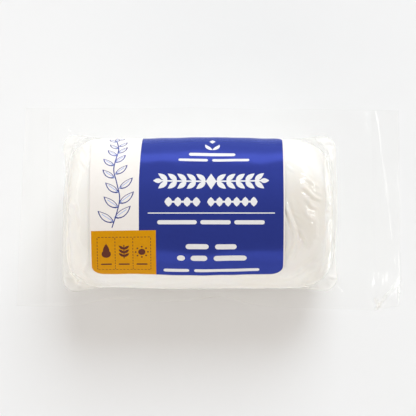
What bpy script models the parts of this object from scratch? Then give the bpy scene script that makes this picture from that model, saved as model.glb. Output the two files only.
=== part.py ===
"""A fresh goat cheese log, vacuum packed in clear film with a printed label on its front.

The pack lies on its back with the label up. Units are metres and +Z is up. +X runs along the log,
+Y points to the label's top edge, and the origin is the centre of the pack's box on the surface below it.
"""

import math

import bmesh
import bpy
from mathutils import Vector

MM = 0.001

SEAM_HEIGHT = 19.0 * MM

# The film: two webs sealed round the log and cut a little askew. Its corners go anticlockwise.
BACK_RIGHT = Vector((56.2 * MM, 29.7 * MM, SEAM_HEIGHT))
BACK_LEFT = Vector((-54.4 * MM, 30.5 * MM, SEAM_HEIGHT))
FRONT_LEFT = Vector((-56.1 * MM, -29.1 * MM, SEAM_HEIGHT))
FRONT_RIGHT = Vector((56.0 * MM, -30.5 * MM, SEAM_HEIGHT))
FILM_CORNERS = (BACK_RIGHT, BACK_LEFT, FRONT_LEFT, FRONT_RIGHT)
FILM_THICKNESS = 0.5 * MM
FILM_GAP = 0.35 * MM
FILM_ROWS = 6

# The log. Its section is widest at the seam, round above it and squatter below it.
LOG_CENTRE = Vector((-2.7 * MM, -1.7 * MM, SEAM_HEIGHT))
LOG_HALF_WIDTH = 22.0 * MM
LOG_CROWN = 21.6 * MM
LOG_SQUASH = 0.8 * MM
LOG_KEEL = SEAM_HEIGHT + LOG_SQUASH
KEEL_POWER = 2.4
FACE_BULGE = 0.9 * MM

# The unevenness of soft cheese, and the pleats gathered on its end faces.
LUMP = 0.22 * MM
SLOW_LUMPS = 9.0 * MM
QUICK_LUMPS = 5.2 * MM
PLEAT = 0.35 * MM
PLEAT_COUNT = 9

# How far each end face stands from the log's centre: high on the log, at the seam and at the keel.
REACH_LEFT = {"crown": 37.2 * MM, "seam": 38.5 * MM, "keel": 36.4 * MM}
REACH_RIGHT = {"crown": 36.3 * MM, "seam": 38.7 * MM, "keel": 36.4 * MM}
LEDGE_HEIGHT = 3.4 * MM

# The radius in millimetres where the barrel turns into an end face, by degrees round the log from its back.
CORNERS_LEFT = ((0, 3.6), (45, 6.5), (90, 6.0), (135, 5.5), (180, 3.6), (270, 6.0), (360, 3.6))
CORNERS_RIGHT = ((0, 4.0), (45, 11.0), (90, 8.5), (135, 6.0), (180, 3.6), (270, 6.0), (360, 4.0))

# The ears that the seam pinches out at the four corners: left or right, front or back, and reach.
EARS = ((-1, 1, 1.5 * MM), (-1, -1, 2.2 * MM), (1, 1, 1.3 * MM), (1, -1, 1.4 * MM))
EAR_INSET = 2.0 * MM
EAR_WIDTH = 4.2 * MM
EAR_HEIGHT = 1.9 * MM

# The label, wrapped over the log's crown.
LABEL_LEFT = -33.7 * MM
LABEL_RIGHT = 21.3 * MM
LABEL_BACK_ANGLE = math.radians(69.0)
LABEL_FRONT_ANGLE = math.radians(66.0)
LABEL_CORNER = 2.3 * MM
LABEL_GAP = 0.3 * MM
LABEL_THICKNESS = 0.3 * MM
LABEL_ROWS = 26
LABEL_COLUMNS = 18
LABEL_CROWDING = 0.85

# Where the front border of the film curls up: place along the pack, spread and angle.
CURLS = (
    (-29.0 * MM, 8.0 * MM, math.radians(30.0)),
    (-14.0 * MM, 14.0 * MM, math.radians(28.0)),
    (4.0 * MM, 10.0 * MM, math.radians(44.0)),
)
CURLS_END = 42.0 * MM

# How the film's ends droop from the log, and the slow wave all round its border.
LEFT_DROOP = 1.6 * MM
RIGHT_DROOP = 1.1 * MM
DROOP_START = 30.0 * MM
DROOP_LENGTH = 12.0 * MM
BORDER_WAVE = 0.7 * MM
WAVE_LENGTH = 46.0 * MM

# The bent front right corner: how far from the tip its crease starts on each edge, and its angle.
DOG_EAR_ALONG = 7.6 * MM
DOG_EAR_ACROSS = 8.9 * MM
DOG_EAR_LIFT = math.radians(38.0)

AROUND = 64
BARREL_STATIONS = 20
CORNER_STATIONS = 6
FACE_STATIONS = 4


def between(low, high, share):
    """The value that lies this share of the way from low to high."""
    return low + (high - low) * share


def eased(share):
    """A smooth step from 0 to 1."""
    share = min(1.0, max(0.0, share))
    return share * share * (3.0 - 2.0 * share)


def bell(value, width):
    """A bump of height 1 and this width, centred on 0."""
    return math.exp(-((value / width) ** 2))


def corner_radius(side, angle):
    """The end's corner radius at this angle round the log, eased between the listed angles."""
    listed = CORNERS_LEFT if side < 0 else CORNERS_RIGHT
    degrees = math.degrees(angle) % 360.0
    for (start, first), (end, second) in zip(listed, listed[1:]):
        if start <= degrees <= end:
            return between(first, second, eased((degrees - start) / (end - start))) * MM
    raise ValueError(degrees)


def reach(side, height):
    """How far the end face stands from the log's centre, at this height above the seam."""
    sizes = REACH_LEFT if side < 0 else REACH_RIGHT
    if height >= 0.0:
        return between(sizes["seam"], sizes["crown"], eased(height / LEDGE_HEIGHT))
    return between(sizes["seam"], sizes["keel"], (-height / LOG_KEEL) ** 1.5)


def section(angle):
    """The log's cross-section at this angle, as how far back and how high it is from the seam's centre."""
    across = math.cos(angle)
    up = math.sin(angle)
    if up >= 0.0:
        return LOG_HALF_WIDTH * across, LOG_CROWN * up
    power = 2.0 / KEEL_POWER
    wide = math.copysign(abs(across) ** power, across)
    return LOG_HALF_WIDTH * wide, -LOG_KEEL * abs(up) ** power


def lump(along, angle):
    """The hand-soft unevenness of the barrel."""
    slow = math.sin(along / SLOW_LUMPS + 1.3) * math.cos(2.0 * angle + 0.4)
    quick = math.sin(along / QUICK_LUMPS + 3.0 * angle)
    return LUMP * (slow + 0.5 * quick)


def ears(point):
    """The sideways push of the pinched corners on a point of the log."""
    push = Vector((0.0, 0.0, 0.0))
    for side, back, size in EARS:
        corner_x = side * (reach(side, 0.0) - EAR_INSET)
        corner_y = back * (LOG_HALF_WIDTH - EAR_INSET)
        distance = math.hypot(point.x - corner_x, point.y - corner_y)
        strength = size * bell(distance, EAR_WIDTH) * bell(point.z, EAR_HEIGHT)
        push += Vector((side, back, 0.0)).normalized() * strength
    return push


def settled(point):
    """The point as it lies on the surface: nothing hangs below the flat keel."""
    point.z = max(point.z, -SEAM_HEIGHT)
    return point


def barrel_point(share, angle):
    """A point of the barrel. share runs from -1 at the left corner to 1 at the right corner."""
    across, up = section(angle)
    left = -(reach(-1, up) - corner_radius(-1, angle))
    right = reach(1, up) - corner_radius(1, angle)
    along = between(left, right, 0.5 + 0.5 * share)
    grown = 1.0 + lump(along, angle) / LOG_HALF_WIDTH
    point = Vector((along, across * grown, up * grown))
    return settled(point + ears(point))


def end_point(side, angle, turn, inward):
    """A point of an end. turn goes from 0 at the barrel to 1 at the face, inward from rim to middle."""
    across, up = section(angle)
    radius = corner_radius(side, angle)
    size = math.hypot(across, up)
    rim = 1.0 - radius * (1.0 - math.cos(turn * math.pi / 2.0)) / size
    scale = rim * (1.0 - inward)
    height = up * scale
    setback = radius * (1.0 - math.sin(turn * math.pi / 2.0))
    dome = FACE_BULGE * (1.0 - (1.0 - inward) ** 2)
    folds = PLEAT * math.sin(PLEAT_COUNT * angle + side) * math.sin(math.pi * inward) * turn
    along = side * (reach(side, height) - setback + dome + folds)
    grown = 1.0 + lump(along, angle) * (1.0 - inward) / LOG_HALF_WIDTH
    point = Vector((along, across * scale * grown, height * grown))
    return settled(point + ears(point))


def log_rings():
    """Every ring of the log from its left face to its right face, each a function of the angle."""
    rings = []
    for step in range(FACE_STATIONS, 0, -1):
        inward = step / (FACE_STATIONS + 1)
        rings.append(lambda angle, inward=inward: end_point(-1, angle, 1.0, inward))
    for step in range(CORNER_STATIONS, 0, -1):
        turn = step / CORNER_STATIONS
        rings.append(lambda angle, turn=turn: end_point(-1, angle, turn, 0.0))
    for step in range(BARREL_STATIONS + 1):
        share = 2.0 * step / BARREL_STATIONS - 1.0
        rings.append(lambda angle, share=share: barrel_point(share, angle))
    for step in range(1, CORNER_STATIONS + 1):
        turn = step / CORNER_STATIONS
        rings.append(lambda angle, turn=turn: end_point(1, angle, turn, 0.0))
    for step in range(1, FACE_STATIONS + 1):
        inward = step / (FACE_STATIONS + 1)
        rings.append(lambda angle, inward=inward: end_point(1, angle, 1.0, inward))
    return rings


def seam_outline():
    """The log's outline at the seam, anticlockwise from its right end, as world points on the seam plane."""
    rings = log_rings()
    right_tip = end_point(1, 0.0, 1.0, 1.0)
    left_tip = end_point(-1, 0.0, 1.0, 1.0)
    back = [ring(0.0) for ring in reversed(rings)]
    front = [ring(math.pi) for ring in rings]
    outline = [right_tip, *back, left_tip, *front]
    return [point + LOG_CENTRE for point in outline]


def outline_normal(points, index):
    """The outward direction of a closed outline at one of its points."""
    tangent = points[(index + 1) % len(points)] - points[index - 1]
    return Vector((tangent.y, -tangent.x, 0.0)).normalized()


def film_edge(point):
    """Where the level ray from the film's middle through this point meets the film's cut edge."""
    ray = Vector((point.x, point.y))
    stretches = []
    for first, second in zip(FILM_CORNERS, (*FILM_CORNERS[1:], FILM_CORNERS[0])):
        edge = second.xy - first.xy
        if ray.cross(edge) > 0.0:
            stretches.append(first.xy.cross(edge) / ray.cross(edge))
    met = ray * min(stretches)
    return Vector((met.x, met.y, SEAM_HEIGHT))


def curled(point, share):
    """The film's relief: its ends droop, its border waves a little and its front border curls up."""
    ends = share**2 * eased((abs(point.x) - DROOP_START) / DROOP_LENGTH)
    droop = LEFT_DROOP if point.x < 0.0 else RIGHT_DROOP
    wave = BORDER_WAVE * share * math.sin(2.0 * math.pi * (point.x + 2.0 * point.y) / WAVE_LENGTH)
    lifted = Vector((point.x, point.y, point.z - droop * ends + wave))
    if point.y < 0.0 and abs(point.x) < CURLS_END:
        angle = sum(size * bell(point.x - centre, spread) for centre, spread, size in CURLS)
        out = share * (LOG_CENTRE.y - LOG_HALF_WIDTH - point.y)
        lifted.y += out * (1.0 - math.cos(angle))
        lifted.z += out * math.sin(angle)
    return lifted


def bent_corner(point):
    """The point once the front right corner is bent up about its crease."""
    on_end = FRONT_RIGHT + Vector((0.0, DOG_EAR_ACROSS, 0.0))
    on_side = FRONT_RIGHT - Vector((DOG_EAR_ALONG, 0.0, 0.0))
    crease = (on_end - on_side).normalized()
    outward = Vector((crease.y, -crease.x, 0.0))
    past = max(0.0, (point - on_side).dot(outward))
    moved = point - outward * past * (1.0 - math.cos(DOG_EAR_LIFT))
    moved.z += past * math.sin(DOG_EAR_LIFT)
    return moved


def film_rows():
    """Closed rows of points from the log's outline at the seam to the film's cut edge."""
    outline = seam_outline()
    cut_edge = [film_edge(point) for point in outline]
    for corner in FILM_CORNERS:
        nearest = min(range(len(cut_edge)), key=lambda index: (cut_edge[index] - corner).length)
        cut_edge[nearest] = corner
    rows = [[] for _ in range(FILM_ROWS + 1)]
    for index, point in enumerate(outline):
        inner = point + outline_normal(outline, index) * FILM_GAP
        inner.z = SEAM_HEIGHT
        for row in range(FILM_ROWS + 1):
            share = row / FILM_ROWS
            formed = bent_corner(curled(cut_edge[index], share))
            rows[row].append(inner.lerp(formed, share))
    return rows


def label_point(across_share, along_share):
    """A point under the label. Both shares run from -1 to 1, and the label's corners are rounded."""
    half_length = (LABEL_RIGHT - LABEL_LEFT) / 2.0
    middle = (LABEL_RIGHT + LABEL_LEFT) / 2.0
    spread = math.sin(along_share * math.pi / 2.0)
    along = middle + half_length * between(along_share, spread, LABEL_CROWDING)
    from_edge = half_length - abs(along - middle)
    corner = max(0.0, LABEL_CORNER - from_edge)
    trimmed = LABEL_CORNER - math.sqrt(max(0.0, LABEL_CORNER**2 - corner**2))
    whole_angle = LABEL_BACK_ANGLE if across_share > 0.0 else LABEL_FRONT_ANGLE
    angle = math.pi / 2.0 - across_share * (whole_angle - trimmed / LOG_HALF_WIDTH)
    across, up = section(angle)
    local = along - LOG_CENTRE.x
    grown = 1.0 + lump(local, angle) / LOG_HALF_WIDTH
    point = Vector((local, across * grown, up * grown))
    normal = Vector((0.0, across / LOG_HALF_WIDTH**2, up / LOG_CROWN**2)).normalized()
    return point + normal * LABEL_GAP


def grid_faces(shape, rows, closed):
    """Joins each row of vertices to the next with quads, and a closed row's end to its start.

    The quads face the side from which each row runs to the right and the next row lies above it.
    """
    for first, second in zip(rows, rows[1:]):
        count = len(first)
        for index in range(count if closed else count - 1):
            after = (index + 1) % count
            shape.faces.new((first[index], first[after], second[after], second[index]))


def placed_object(name, shape, material, location):
    """Turns the shape into a named object in the scene, shaded smooth."""
    mesh = bpy.data.meshes.new(name)
    shape.to_mesh(mesh)
    shape.free()
    mesh.shade_smooth()
    mesh.set_sharp_from_angle(angle=math.radians(50.0))
    mesh.materials.append(material)
    placed = bpy.data.objects.new(name, mesh)
    placed.location = location
    bpy.context.scene.collection.objects.link(placed)
    return placed


def plain_material(name, colour, roughness, alpha=1.0):
    """A Principled material of one colour."""
    material = bpy.data.materials.new(name)
    material.use_nodes = True
    shader = material.node_tree.nodes["Principled BSDF"]
    shader.inputs["Base Color"].default_value = (*colour, 1.0)
    shader.inputs["Roughness"].default_value = roughness
    shader.inputs["Metallic"].default_value = 0.0
    shader.inputs["Alpha"].default_value = alpha
    return material


def thickened(placed, thickness, offset):
    """Gives a sheet its thickness."""
    solidify = placed.modifiers.new("thickness", "SOLIDIFY")
    solidify.thickness = thickness
    solidify.offset = offset
    solidify.use_even_offset = True
    return placed


def build_log(material):
    """The cheese log with its film skin, one solid from face to face."""
    shape = bmesh.new()
    angles = [2.0 * math.pi * step / AROUND for step in range(AROUND)]
    rows = [[shape.verts.new(ring(angle)) for angle in angles] for ring in log_rings()]
    grid_faces(shape, rows, closed=True)
    for side, row in ((-1, rows[0][::-1]), (1, rows[-1])):
        tip = shape.verts.new(end_point(side, 0.0, 1.0, 1.0))
        for first, second in zip(row, (*row[1:], row[0])):
            shape.faces.new((first, second, tip))
    return placed_object("cheese_log", shape, material, LOG_CENTRE)


def build_film(material):
    """The sealed border of clear film round the log."""
    shape = bmesh.new()
    seam = Vector((0.0, 0.0, SEAM_HEIGHT))
    rows = [[shape.verts.new(point - seam) for point in row] for row in film_rows()]
    grid_faces(shape, rows[::-1], closed=True)
    film = placed_object("clear_film", shape, material, seam)
    return thickened(film, FILM_THICKNESS, 0.0)


def build_label(material):
    """The printed label over the log's crown."""
    shape = bmesh.new()
    rows = []
    for row in range(LABEL_ROWS + 1):
        across_share = 2.0 * row / LABEL_ROWS - 1.0
        shares = [2.0 * column / LABEL_COLUMNS - 1.0 for column in range(LABEL_COLUMNS + 1)]
        rows.append([shape.verts.new(label_point(across_share, share)) for share in shares])
    grid_faces(shape, rows, closed=False)
    label = placed_object("front_label", shape, material, LOG_CENTRE)
    return thickened(label, LABEL_THICKNESS, 1.0)


def main():
    """Clears the scene and builds the pack's three pieces under one empty."""
    for old in list(bpy.data.objects):
        bpy.data.objects.remove(old)
    pack = bpy.data.objects.new("pack", None)
    bpy.context.scene.collection.objects.link(pack)
    cheese = plain_material("fresh cheese", (0.86, 0.84, 0.79), 0.45)
    film = plain_material("clear film", (0.93, 0.94, 0.95), 0.08, alpha=0.25)
    print_blue = plain_material("printed label", (0.030, 0.045, 0.21), 0.35)
    for piece in (build_log(cheese), build_film(film), build_label(print_blue)):
        piece.parent = pack


main()
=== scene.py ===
"""The looks of a fresh goat cheese log in its vacuum pack: the cheese, the clear film and the printed label.

Every length is in metres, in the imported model's own frame: +X runs along the log to the right of the label,
+Y to the label's top edge, and +Z up through the label. The label's print and the film's creases are laid
out in millimetres, and each class that does so says it.
"""

import logging
import math
import random
from collections.abc import Callable, Iterable, Sequence
from dataclasses import dataclass, field, replace
from enum import Enum
from typing import Any

import bpy
import numpy as np
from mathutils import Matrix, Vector
from mathutils.geometry import delaunay_2d_cdt


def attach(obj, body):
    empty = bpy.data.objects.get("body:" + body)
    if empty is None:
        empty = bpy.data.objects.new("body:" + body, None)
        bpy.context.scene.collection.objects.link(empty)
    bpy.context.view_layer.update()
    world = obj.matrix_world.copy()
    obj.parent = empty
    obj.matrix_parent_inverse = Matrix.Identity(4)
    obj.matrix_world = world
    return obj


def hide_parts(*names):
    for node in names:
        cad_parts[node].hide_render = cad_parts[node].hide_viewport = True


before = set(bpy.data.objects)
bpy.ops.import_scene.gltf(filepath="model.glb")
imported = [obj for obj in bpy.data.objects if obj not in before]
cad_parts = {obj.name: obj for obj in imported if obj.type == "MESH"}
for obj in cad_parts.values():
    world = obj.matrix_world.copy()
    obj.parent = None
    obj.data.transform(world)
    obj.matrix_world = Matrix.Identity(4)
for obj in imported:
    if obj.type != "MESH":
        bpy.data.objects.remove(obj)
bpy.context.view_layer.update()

LOG = logging.getLogger("cheese_pack")
BODY = "root"
MM = 0.001

Place = tuple[float, float]
Triple = tuple[float, float, float]
Colour = tuple[float, float, float]
Radii = tuple[tuple[float, float], ...]
WHITE = (1.0, 1.0, 1.0)


def between(low: Any, high: Any, share: Any) -> Any:
    """The value that lies this share of the way from low to high."""
    return low + (high - low) * share


def eased(share: Any) -> Any:
    """A smooth step from 0 to 1, for a number or an array."""
    held = np.clip(share, 0.0, 1.0)
    return held * held * (3.0 - 2.0 * held)


def bell(value: Any, width: float) -> Any:
    """A bump of height 1 and this width, centred on 0."""
    return np.exp(-((value / width) ** 2))


def unit(vectors: np.ndarray) -> np.ndarray:
    """The vectors at length 1."""
    length = np.linalg.norm(vectors, axis=-1, keepdims=True)
    return vectors / np.maximum(length, 1e-12)


def smooth_route(route: Sequence[Place], steps: int = 8) -> np.ndarray:
    """A smooth curve through a route's places.

    Args:
        route: The places that the curve passes through, two or more.
        steps: How many points each stretch between two places gets.

    Returns:
        The curve's points, one row each.
    """
    spots = np.array(route, float)
    padded = np.vstack([2.0 * spots[0] - spots[1], spots, 2.0 * spots[-1] - spots[-2]])
    points = []
    for before, start, end, after in zip(padded, padded[1:], padded[2:], padded[3:]):
        for share in np.arange(steps) / steps:
            bend = (2.0 * before - 5.0 * start + 4.0 * end - after) * share**2
            twist = (3.0 * start - before - 3.0 * end + after) * share**3
            points.append(0.5 * (2.0 * start + (end - before) * share + bend + twist))
    return np.vstack([points, spots[-1]])


class End(Enum):
    """The two ends of the log, by the sign of X."""

    LEFT = -1
    RIGHT = 1


@dataclass(frozen=True)
class RingPlace:
    """Where a ring of the log lies: on the barrel by its share, or on an end by its turn and inward step."""

    end: End | None = None
    share: float = 0.0
    turn: float = 0.0
    inward: float = 0.0


@dataclass(frozen=True)
class Fineness:
    """How many rings a skin of the log gets on each face, on each corner and along the barrel."""

    face: int
    corner: int
    barrel: tuple[tuple[float, float, int], ...]


@dataclass(frozen=True)
class LogForm:
    """The log's surface, by the same rules as its solid.

    Angle 0 is the log's back, a quarter turn its crown, half a turn its front and three quarters its keel.
    A corner's radius is listed in millimetres by its angle in degrees. An ear is where the seam's corner is
    pinched out: its side, whether it is at the back or the front, and how far it is pushed.
    """

    centre: Triple = (-2.7 * MM, -1.7 * MM, 19.0 * MM)
    half_width: float = 22.0 * MM
    crown: float = 21.6 * MM
    keel: float = 19.8 * MM
    keel_power: float = 2.4
    keel_ease: float = 1.5
    face_bulge: float = 0.9 * MM
    lump_size: float = 0.22 * MM
    slow_lumps: float = 9.0 * MM
    quick_lumps: float = 5.2 * MM
    lump_phases: Place = (1.3, 0.4)
    pleat: float = 0.35 * MM
    pleat_count: int = 9
    pleat_spread: float = 1.7
    ledge_height: float = 3.4 * MM
    crown_reach: tuple[float, float] = (37.2 * MM, 36.3 * MM)
    seam_reach: tuple[float, float] = (38.5 * MM, 38.7 * MM)
    keel_reach: tuple[float, float] = (36.4 * MM, 36.4 * MM)
    left_corners: Radii = ((0, 3.6), (45, 6.5), (90, 6.0), (135, 5.5), (180, 3.6), (270, 6.0), (360, 3.6))
    right_corners: Radii = ((0, 4.0), (45, 11.0), (90, 8.5), (135, 6.0), (180, 3.6), (270, 6.0), (360, 4.0))
    ears: tuple[Triple, ...] = ((-1, 1, 1.4 * MM), (-1, -1, 1.0 * MM), (1, 1, 1.0 * MM), (1, -1, 0.9 * MM))
    ear_inset: float = 2.0 * MM
    ear_width: float = 4.2 * MM
    ear_height: float = 1.9 * MM

    def section(self, angles: np.ndarray) -> tuple[np.ndarray, np.ndarray]:
        """The log's cross-section.

        Args:
            angles: Angles round the log.

        Returns:
            How far back and how high each point is from the seam's centre.
        """
        across = np.cos(angles)
        up = np.sin(angles)
        power = 2.0 / self.keel_power
        low_across = np.copysign(np.abs(across) ** power, across)
        low_up = -np.abs(up) ** power
        above = up >= 0.0
        return (
            self.half_width * np.where(above, across, low_across),
            np.where(above, self.crown * up, self.keel * low_up),
        )

    def lump(self, along: np.ndarray, angles: np.ndarray) -> np.ndarray:
        """The hand-soft unevenness of the barrel.

        Args:
            along: How far right of the log's centre each point lies.
            angles: The points' angles round the log.

        Returns:
            How far each point is pushed out.
        """
        first, second = self.lump_phases
        slow = np.sin(along / self.slow_lumps + first) * np.cos(2.0 * angles + second)
        quick = np.sin(along / self.quick_lumps + 3.0 * angles)
        return self.lump_size * (slow + 0.5 * quick)

    def reach(self, end: End, height: np.ndarray) -> np.ndarray:
        """How far an end face stands from the log's centre.

        Args:
            end: The end.
            height: Heights above the seam.

        Returns:
            The face's distance at each height.
        """
        side = 0 if end is End.LEFT else 1
        high = between(self.seam_reach[side], self.crown_reach[side], eased(height / self.ledge_height))
        deep = np.clip(-height / self.keel, 0.0, 1.0) ** self.keel_ease
        low = between(self.seam_reach[side], self.keel_reach[side], deep)
        return np.where(height >= 0.0, high, low)

    def corner_radius(self, end: End, angles: np.ndarray) -> np.ndarray:
        """An end's corner radius, eased between the listed angles.

        Args:
            end: The end.
            angles: Angles round the log.

        Returns:
            The radius at each angle.
        """
        listed = self.left_corners if end is End.LEFT else self.right_corners
        degrees = np.degrees(angles) % 360.0
        radius = np.full_like(degrees, listed[0][1])
        for (start, first), (stop, second) in zip(listed, listed[1:]):
            inside = (degrees >= start) & (degrees <= stop)
            share = eased((degrees - start) / (stop - start))
            radius = np.where(inside, between(first, second, share), radius)
        return radius * MM

    def ring(self, place: RingPlace, angles: np.ndarray) -> np.ndarray:
        """One ring of the log.

        Args:
            place: Where the ring lies.
            angles: The angles of its points round the log.

        Returns:
            The ring's points, one row each.
        """
        across, up = self.section(angles)
        if place.end is None:
            left = self.corner_radius(End.LEFT, angles) - self.reach(End.LEFT, up)
            right = self.reach(End.RIGHT, up) - self.corner_radius(End.RIGHT, angles)
            along = between(left, right, 0.5 + 0.5 * place.share)
            grown = 1.0 + self.lump(along, angles) / self.half_width
            points = np.stack([along, across * grown, up * grown], axis=1)
        else:
            quarter = place.turn * math.pi / 2.0
            radius = self.corner_radius(place.end, angles)
            rim = 1.0 - radius * (1.0 - math.cos(quarter)) / np.hypot(across, up)
            scale = rim * (1.0 - place.inward)
            height = up * scale
            dome = self.face_bulge * (1.0 - (1.0 - place.inward) ** 2)
            spread = math.sin(math.pi * place.inward) * (1.0 - place.inward) * self.pleat_spread
            folds = np.sin(self.pleat_count * angles + place.end.value) * spread
            setback = radius * (1.0 - math.sin(quarter))
            out = self.reach(place.end, height) - setback + dome + self.pleat * folds * place.turn
            along = place.end.value * out
            grown = 1.0 + self.lump(along, angles) * (1.0 - place.inward) / self.half_width
            points = np.stack([along, across * scale * grown, height * grown], axis=1)
        points = points + self.ear_push(points)
        points[:, 2] = np.maximum(points[:, 2], -self.centre[2])
        return points + np.array(self.centre)

    def ear_push(self, points: np.ndarray) -> np.ndarray:
        """The sideways push of the seam's pinched corners.

        Args:
            points: Points from the log's centre, one row each.

        Returns:
            Each point's move.
        """
        push = np.zeros_like(points)
        for side, back, size in self.ears:
            end = End(int(side))
            corner_x = side * (self.reach(end, np.zeros(1))[0] - self.ear_inset)
            corner_y = back * (self.half_width - self.ear_inset)
            distance = np.hypot(points[:, 0] - corner_x, points[:, 1] - corner_y)
            strength = size * bell(distance, self.ear_width) * bell(points[:, 2], self.ear_height)
            push += np.outer(strength, unit(np.array([side, back, 0.0])))
        return push

    def rings(self, fineness: Fineness, angles: np.ndarray) -> np.ndarray:
        """The rings of a skin from the log's left face to its right face.

        Args:
            fineness: How many rings each part of the log gets.
            angles: The angles of each ring's points.

        Returns:
            The points, by ring and by angle.
        """
        places = []
        for step in range(fineness.face, 0, -1):
            places.append(RingPlace(End.LEFT, turn=1.0, inward=step / (fineness.face + 1)))
        for step in range(fineness.corner, 0, -1):
            places.append(RingPlace(End.LEFT, turn=step / fineness.corner))
        for start, stop, count in fineness.barrel:
            places += [RingPlace(share=share) for share in np.linspace(start, stop, count, endpoint=False)]
        places.append(RingPlace(share=fineness.barrel[-1][1]))
        for step in range(1, fineness.corner + 1):
            places.append(RingPlace(End.RIGHT, turn=step / fineness.corner))
        for step in range(1, fineness.face + 1):
            places.append(RingPlace(End.RIGHT, turn=1.0, inward=step / (fineness.face + 1)))
        return np.stack([self.ring(place, angles) for place in places])

    def tip(self, end: End) -> np.ndarray:
        """The middle of an end face."""
        return self.ring(RingPlace(end, turn=1.0, inward=1.0), np.zeros(1))[0]


def cheese_form(form: LogForm) -> LogForm:
    """The form that the cheese keeps inside its film: rounder at the seam's corners, which it doesn't fill.

    Args:
        form: The form of the film round it.

    Returns:
        The cheese's form.
    """
    return replace(
        form,
        seam_reach=(38.5 * MM, 38.3 * MM),
        left_corners=((0, 8.0), (45, 7.5), (90, 6.0), (135, 5.6), (180, 4.8), (270, 6.0), (360, 8.0)),
        right_corners=((0, 9.5), (45, 11.5), (90, 8.5), (135, 6.5), (180, 8.5), (270, 6.0), (360, 9.5)),
        ears=(),
    )


@dataclass(frozen=True)
class BorderForm:
    """The film's border round the log, by the same rules as its solid.

    Each curl of the front edge is where it is centred, how wide it is and how far it turns up.
    """

    back_right: Place = (56.2 * MM, 29.7 * MM)
    back_left: Place = (-54.4 * MM, 30.5 * MM)
    front_left: Place = (-56.1 * MM, -29.1 * MM)
    front_right: Place = (56.0 * MM, -30.5 * MM)
    curls: tuple[Triple, ...] = (
        (-29.0 * MM, 8.0 * MM, math.radians(30.0)),
        (-14.0 * MM, 14.0 * MM, math.radians(28.0)),
        (4.0 * MM, 10.0 * MM, math.radians(44.0)),
    )
    curls_end: float = 42.0 * MM
    curl_line: float = -23.7 * MM
    left_droop: float = 1.6 * MM
    right_droop: float = 1.1 * MM
    droop_start: float = 30.0 * MM
    droop_length: float = 12.0 * MM
    wave: float = 0.7 * MM
    wave_length: float = 46.0 * MM
    wave_slant: float = 2.0
    dog_ear_along: float = 7.6 * MM
    dog_ear_across: float = 8.9 * MM
    dog_ear_lift: float = math.radians(38.0)

    def cut_edge(self, outline: np.ndarray) -> np.ndarray:
        """The film's cut edge, on the level rays from the film's middle through an outline's points.

        Args:
            outline: The log's outline at the seam.

        Returns:
            The edge's points, with the nearest one moved to each corner.
        """
        corners = np.array([self.back_right, self.back_left, self.front_left, self.front_right])
        stretch = np.full(len(outline), np.inf)
        for first, second in zip(corners, np.roll(corners, -1, axis=0)):
            edge = second - first
            crossing = outline[:, 0] * edge[1] - outline[:, 1] * edge[0]
            facing = np.where(crossing > 0.0, crossing, 1e-12)
            found = (first[0] * edge[1] - first[1] * edge[0]) / facing
            stretch = np.where(crossing > 0.0, np.minimum(stretch, found), stretch)
        cut = outline.copy()
        cut[:, :2] *= stretch[:, None]
        for corner in corners:
            nearest = np.linalg.norm(cut[:, :2] - corner, axis=1).argmin()
            cut[nearest, :2] = corner
        return cut

    def curled(self, points: np.ndarray, share: float) -> np.ndarray:
        """The points of the cut edge once the film droops at its ends, waves and curls up at the front.

        Args:
            points: Points of the flat film's cut edge.
            share: How far out the row of points that this is for lies, from 0 at the log to 1.

        Returns:
            The moved points.
        """
        x, y = points[:, 0], points[:, 1]
        moved = points.copy()
        ends = share**2 * eased((np.abs(x) - self.droop_start) / self.droop_length)
        droop = np.where(x < 0.0, self.left_droop, self.right_droop)
        wave = np.sin(2.0 * math.pi * (x + self.wave_slant * y) / self.wave_length)
        moved[:, 2] += self.wave * share * wave - droop * ends
        angle = sum(size * bell(x - centre, spread) for centre, spread, size in self.curls)
        angle = np.where((y < 0.0) & (np.abs(x) < self.curls_end), angle, 0.0)
        out = share * (self.curl_line - y)
        moved[:, 1] += out * (1.0 - np.cos(angle))
        moved[:, 2] += out * np.sin(angle)
        return moved

    def bent(self, points: np.ndarray) -> np.ndarray:
        """The points once the front right corner is bent up about its crease.

        Args:
            points: Points of the flat film.

        Returns:
            The moved points.
        """
        on_end = np.array(self.front_right) + (0.0, self.dog_ear_across)
        on_side = np.array(self.front_right) - (self.dog_ear_along, 0.0)
        crease = unit(on_end - on_side)
        outward = np.array([crease[1], -crease[0]])
        past = np.maximum(0.0, (points[:, :2] - on_side) @ outward)
        moved = points.copy()
        moved[:, :2] -= np.outer(past * (1.0 - math.cos(self.dog_ear_lift)), outward)
        moved[:, 2] += past * math.sin(self.dog_ear_lift)
        return moved


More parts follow.
